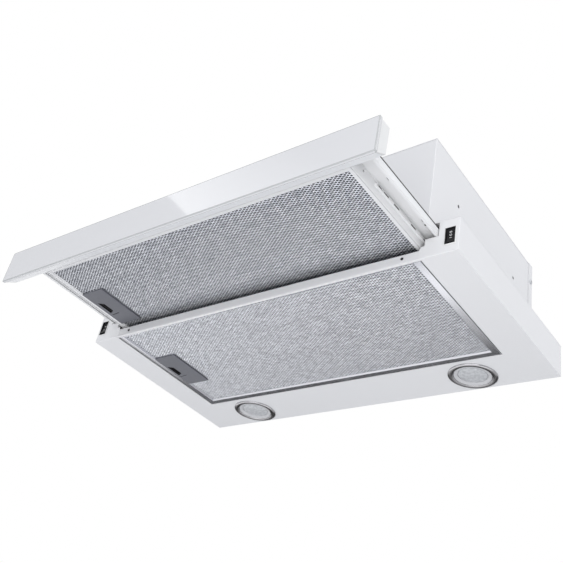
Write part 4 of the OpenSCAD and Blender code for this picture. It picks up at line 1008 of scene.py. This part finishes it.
def pan_screw(length, head_r=3.6, head_h=1.9, shank_r=1.95):
    """Pan head with a cross recess; its seat is at z 0 and its shank runs along z.

    The head starts as a square grid with a narrow cross in its middle, which is then made round and domed.
    """
    bm = bmesh.new()
    bmesh.ops.create_grid(bm, x_segments=5, y_segments=5, size=1.0)
    steps = (-1.0, -0.5, -0.14, 0.14, 0.5, 1.0)
    for vert in bm.verts:
        vert.co.x, vert.co.y = (steps[round((part + 1) * 2.5)] for part in vert.co[:2])
    cross = []
    for face in bm.faces:
        near, far = sorted(map(abs, face.calc_center_median()[:2]))
        if near < 0.1 and far < 0.5:
            cross.append(face)
    for vert in bm.verts:
        u, v = vert.co[:2]
        x, y = u * math.sqrt(1 - v * v / 2), v * math.sqrt(1 - u * u / 2)
        dome = 0.35 + 0.65 * math.sqrt(max(0.0, 1 - 0.95 * (x * x + y * y)))
        vert.co = (head_r * x, head_r * y, -head_h * dome)
    sunk = bmesh.ops.extrude_face_region(bm, geom=cross)["geom"]
    sunk = [item for item in sunk if isinstance(item, bmesh.types.BMVert)]
    bmesh.ops.translate(bm, vec=(0, 0, 1.2), verts=sunk)
    bmesh.ops.scale(bm, vec=(0.8, 0.8, 1), verts=sunk)
    edge = [item for item in bm.edges if item.is_boundary]
    for radius, z in ((head_r, 0.0), (shank_r, 0.0), (shank_r, length - 1.5), (0.5, length)):
        grown = bmesh.ops.extrude_edge_only(bm, edges=edge)["geom"]
        edge = [item for item in grown if isinstance(item, bmesh.types.BMEdge) and item.is_boundary]
        for vert in {vert for item in edge for vert in item.verts}:
            vert.co = (*(vert.co.xy.normalized() * radius), z)
    bmesh.ops.holes_fill(bm, edges=[item for item in bm.edges if item.is_boundary], sides=40)
    return bm


def collar_place(angle):
    """Where a screw holds the duct collar's foot, at an angle about the duct."""
    turn = math.radians(angle)
    return at(69.5 * math.cos(turn), DUCT_MOUTH.y + 69.5 * math.sin(turn), 193, (0, 0, -1), angle)


# Each head is turned by another angle, so that the crosses don't line up
screws = bmesh.new()
stamp(screws, pan_screw(2.0), [at(x, y, 48, (0, 0, -1), y) for x in (-249, 249) for y in (39, 149, 262)])
stamp(screws, pan_screw(7.0), [at(257 * s, 292, z, (-s, 0, 0), z) for s in (-1, 1) for z in (71, 160)])
stamp(screws, pan_screw(7.0), [collar_place(angle) for angle in (45, 135, 225, 315)])
stand_for("sheet_screws", screws, "zinc_steel", smooth=50)
small = bmesh.new()
stamp(small, pan_screw(5.0, head_r=1.8, head_h=1.1, shank_r=1.2),
      [at(228 * s, 0, 6.75, (0, 1, 0), 20 * s) for s in (-1, 1)])
finish_piece("crossbar_screws", small, nodes["sheet_screws"]["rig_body"], "black_steel", "black_steel",
             smooth=50)


# Front panel: a polished glass plate; its face has the first finish and its ground edges the second

PANEL = ((-299.5, -176, -4.5), (299.5, -172, 44.5))


def glass_plate():
    bm = bmesh.new()
    soften(bm, edges_along(edges_of(box(bm, *PANEL)), 1), 2.0, 8)
    soften(bm, [edge for edge in bm.edges if edge.is_manifold and edge.calc_face_angle(0) > 1.2], 0.8, 3)
    bm.normal_update()
    for face in bm.faces:
        face.material_index = 0 if max(map(abs, face.normal)) > 0.99 else 1
    front = largest_facing(bm, (0, -1, 0))
    for face in bmesh.ops.inset_region(bm, faces=[front], thickness=0.8, use_even_offset=True)["faces"]:
        face.material_index = 1
    return bm


stand_for("glass_panel", glass_plate(), ["white_glass", "glass_edge"])


# Duct collar, and the near-black nuts that the cabinet's screws go into, which also paint the shade inside
# the housing's side holes

COLLAR_OUTLINE = (
    (75.5, 190.0), (75.5, 192.4), (74.9, 193.0), (62.5, 193.0), (60.3, 194.2), (59.5, 196.5), (59.5, 216.0),
    (60.4, 216.8), (60.4, 218.2), (59.5, 219.0), (59.5, 228.6), (59.2, 229.6), (58.4, 230.0), (57.5, 229.4),
    (57.5, 204.95), (53.5, 204.95), (53.5, 201.0), (57.5, 201.0), (57.5, 190.0),
)
collar = bmesh.new()
lathe(collar, COLLAR_OUTLINE, 96)
stand_for("duct_collar", moved(collar, Matrix.Translation((0, DUCT_MOUTH.y, 0))), "fan_plastic")

# Near-black nuts behind the housing's side holes: nuts, and painted shade that makes the holes dark
for side, mirror in SIDES:
    nuts = bmesh.new()
    for y in (70, 236):
        soft_box(nuts, (250.6, y - 9, 121), (252.6, y + 9, 139), 0.5)
    finish_piece("cabinet_nuts_" + side, moved(nuts, mirror), nodes["housing_wrap"]["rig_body"],
                 "black_plastic", "black_steel")


# The other nodes keep their shapes and get the finish of their slot; the drawer's frame gets a lighter white,
# painted light for its shaded channels
for name, node in nodes.items():
    slot = node_slot(name)
    if slot in PAINT and not node.hide_render:
        node.data.materials.clear()
        node.data.materials.append(PAINT["drawer_enamel" if name == "drawer_frame" else slot])


# Studio: a floor far below, a white surround, softboxes, and cards that only show in reflections

FLOOR_Z = -1.75


def studio_floor():
    bm = bmesh.new()
    bmesh.ops.create_grid(bm, x_segments=2, y_segments=2, size=9.0)
    moved(bm, Matrix.Translation((0, 0, FLOOR_Z)))
    floor = new_object("studio_floor", new_mesh("studio_floor", bm))
    shader = new_material("studio_floor")[1]
    shader.inputs["Base Color"].default_value = (0.8, 0.8, 0.8, 1)
    shader.inputs["Roughness"].default_value = 0.9
    floor.data.materials.append(PAINT["studio_floor"])


def studio_world():
    """White where it is seen, reflected or seen through, and a little bluish where it lights."""
    world = bpy.data.worlds.new("studio_world")
    bpy.context.scene.world = world
    world.use_nodes = True
    tree = world.node_tree
    tree.nodes.clear()
    out = tree.nodes.new("ShaderNodeOutputWorld")
    rays = tree.nodes.new("ShaderNodeLightPath").outputs
    mix = tree.nodes.new("ShaderNodeMixShader")
    seen = math_node(tree, "MAXIMUM", rays["Is Camera Ray"], rays["Is Glossy Ray"])
    feed(tree, math_node(tree, "MAXIMUM", seen, rays["Is Transmission Ray"]), mix.inputs["Fac"])
    for shader_input, color, strength in ((1, (0.93, 0.95, 1.0, 1), 0.90), (2, (1, 1, 1, 1), 1.0)):
        background = tree.nodes.new("ShaderNodeBackground")
        background.inputs["Color"].default_value = color
        background.inputs["Strength"].default_value = strength
        feed(tree, background.outputs[0], mix.inputs[shader_input])
    feed(tree, mix.outputs[0], out.inputs["Surface"])


def softbox(name, spot, aim, size, power):
    """A square lamp that isn't seen: spot and aim in workshop millimetres, size in metres, power in watts."""
    lamp = bpy.data.lights.new(name, "AREA")
    lamp.shape = "RECTANGLE"
    lamp.size = lamp.size_y = size
    lamp.energy = power
    holder = new_object(name, lamp)
    holder.location = place(*spot)
    holder.rotation_euler = (place(*aim) - place(*spot)).to_track_quat("-Z", "Y").to_euler()
    holder.visible_camera = False
    return holder


def card(name, spot, size, shear, shade):
    """A glowing panel that only shows in reflections; shade is its strength, or builds it from a place."""
    bm = bmesh.new()
    bmesh.ops.create_grid(bm, x_segments=2, y_segments=2, size=0.5)
    shape = Matrix(((size[0], shear, 0, 0), (0, size[1], 0, 0), (0, size[2], 1, 0), (0, 0, 0, 1)))
    panel = new_object(name, new_mesh(name, moved(bm, Matrix.Translation(place(*spot)) @ shape)))
    material = bpy.data.materials.new(name)
    material.use_nodes = True
    tree = material.node_tree
    tree.nodes.clear()
    glow = tree.nodes.new("ShaderNodeEmission")
    if callable(shade):
        where = tree.nodes.new("ShaderNodeSeparateXYZ")
        feed(tree, object_coordinates(tree), where.inputs[0])
        shade = shade(tree, where.outputs)
    feed(tree, shade, glow.inputs["Strength"])
    feed(tree, glow.outputs[0], tree.nodes.new("ShaderNodeOutputMaterial").inputs["Surface"])
    panel.data.materials.append(material)
    panel.visible_camera = panel.visible_diffuse = panel.visible_shadow = panel.visible_transmission = False


def front_shade(tree, where):
    """Brightest at its lower left, which the glass shows at its right."""
    across = math_node(tree, "ADD", where["X"], where["Z"])
    return range_node(tree, across, -0.39, 0.65, 2.9, 1.0)


def floor_shade(tree, where):
    """Brightest in front, even up to a slanted edge at the back, and dim past a line at the far left."""
    front = range_node(tree, where["Y"], 1.7, 1.4, 0.0, 1.1)
    left = range_node(tree, where["X"], -3.3, -2.8, 0.12, 1.0)
    slanted = math_node(tree, "SUBTRACT", where["Y"], math_node(tree, "MULTIPLY", where["X"], 0.15))
    back = range_node(tree, slanted, 2.7, 2.45, 0.03, 0.71)
    return math_node(tree, "ADD", front, math_node(tree, "MULTIPLY", left, back))


def camera():
    """The camera that was fitted to the photograph."""
    right = Vector((0.79223, 0.58325, 0.17942)).normalized()
    up = Vector((0.21245, -0.53925, 0.81491)).normalized()
    data = bpy.data.cameras.new("photo_camera")
    data.sensor_width = 36.0
    data.lens = 53.285
    data.clip_start = 0.02
    data.clip_end = 50.0
    holder = new_object("photo_camera", data)
    holder.location = place(660.1, -647.7, -566.2)
    holder.rotation_euler = Matrix((right, up, right.cross(up))).transposed().to_euler()
    bpy.context.scene.camera = holder


studio_floor()
studio_world()
softbox("right_softbox", (1500, 300, 700), (150, 100, 60), 1.2, 2.2)
softbox("low_softbox", (550, -1000, -1250), (0, 100, 0), 1.6, 14.5)
softbox("front_fill", (1100, -900, -250), (280, 0, 20), 0.9, 2.5)
softbox("fold_sheen", (1476, -740, 1440), (256, 3, 120), 0.9, 15).visible_diffuse = False
card("front_card", (-1850, -2200, 2545), (1.7, 0.0, 1.4), -1.42, front_shade)
card("floor_card", (-2200, 2600, -1515), (5.2, 3.0, 0.0), 0.0, floor_shade)
card("front_floor_card", (-800, -700, -1515), (2.4, 2.0, 0.0), 0.0, 1.36)
card("inner_card", (0, 5, 13.5), (0.49, 0.0, 0.009), 0.0, 0.35)
camera()
bpy.context.scene.view_settings.view_transform = "Standard"
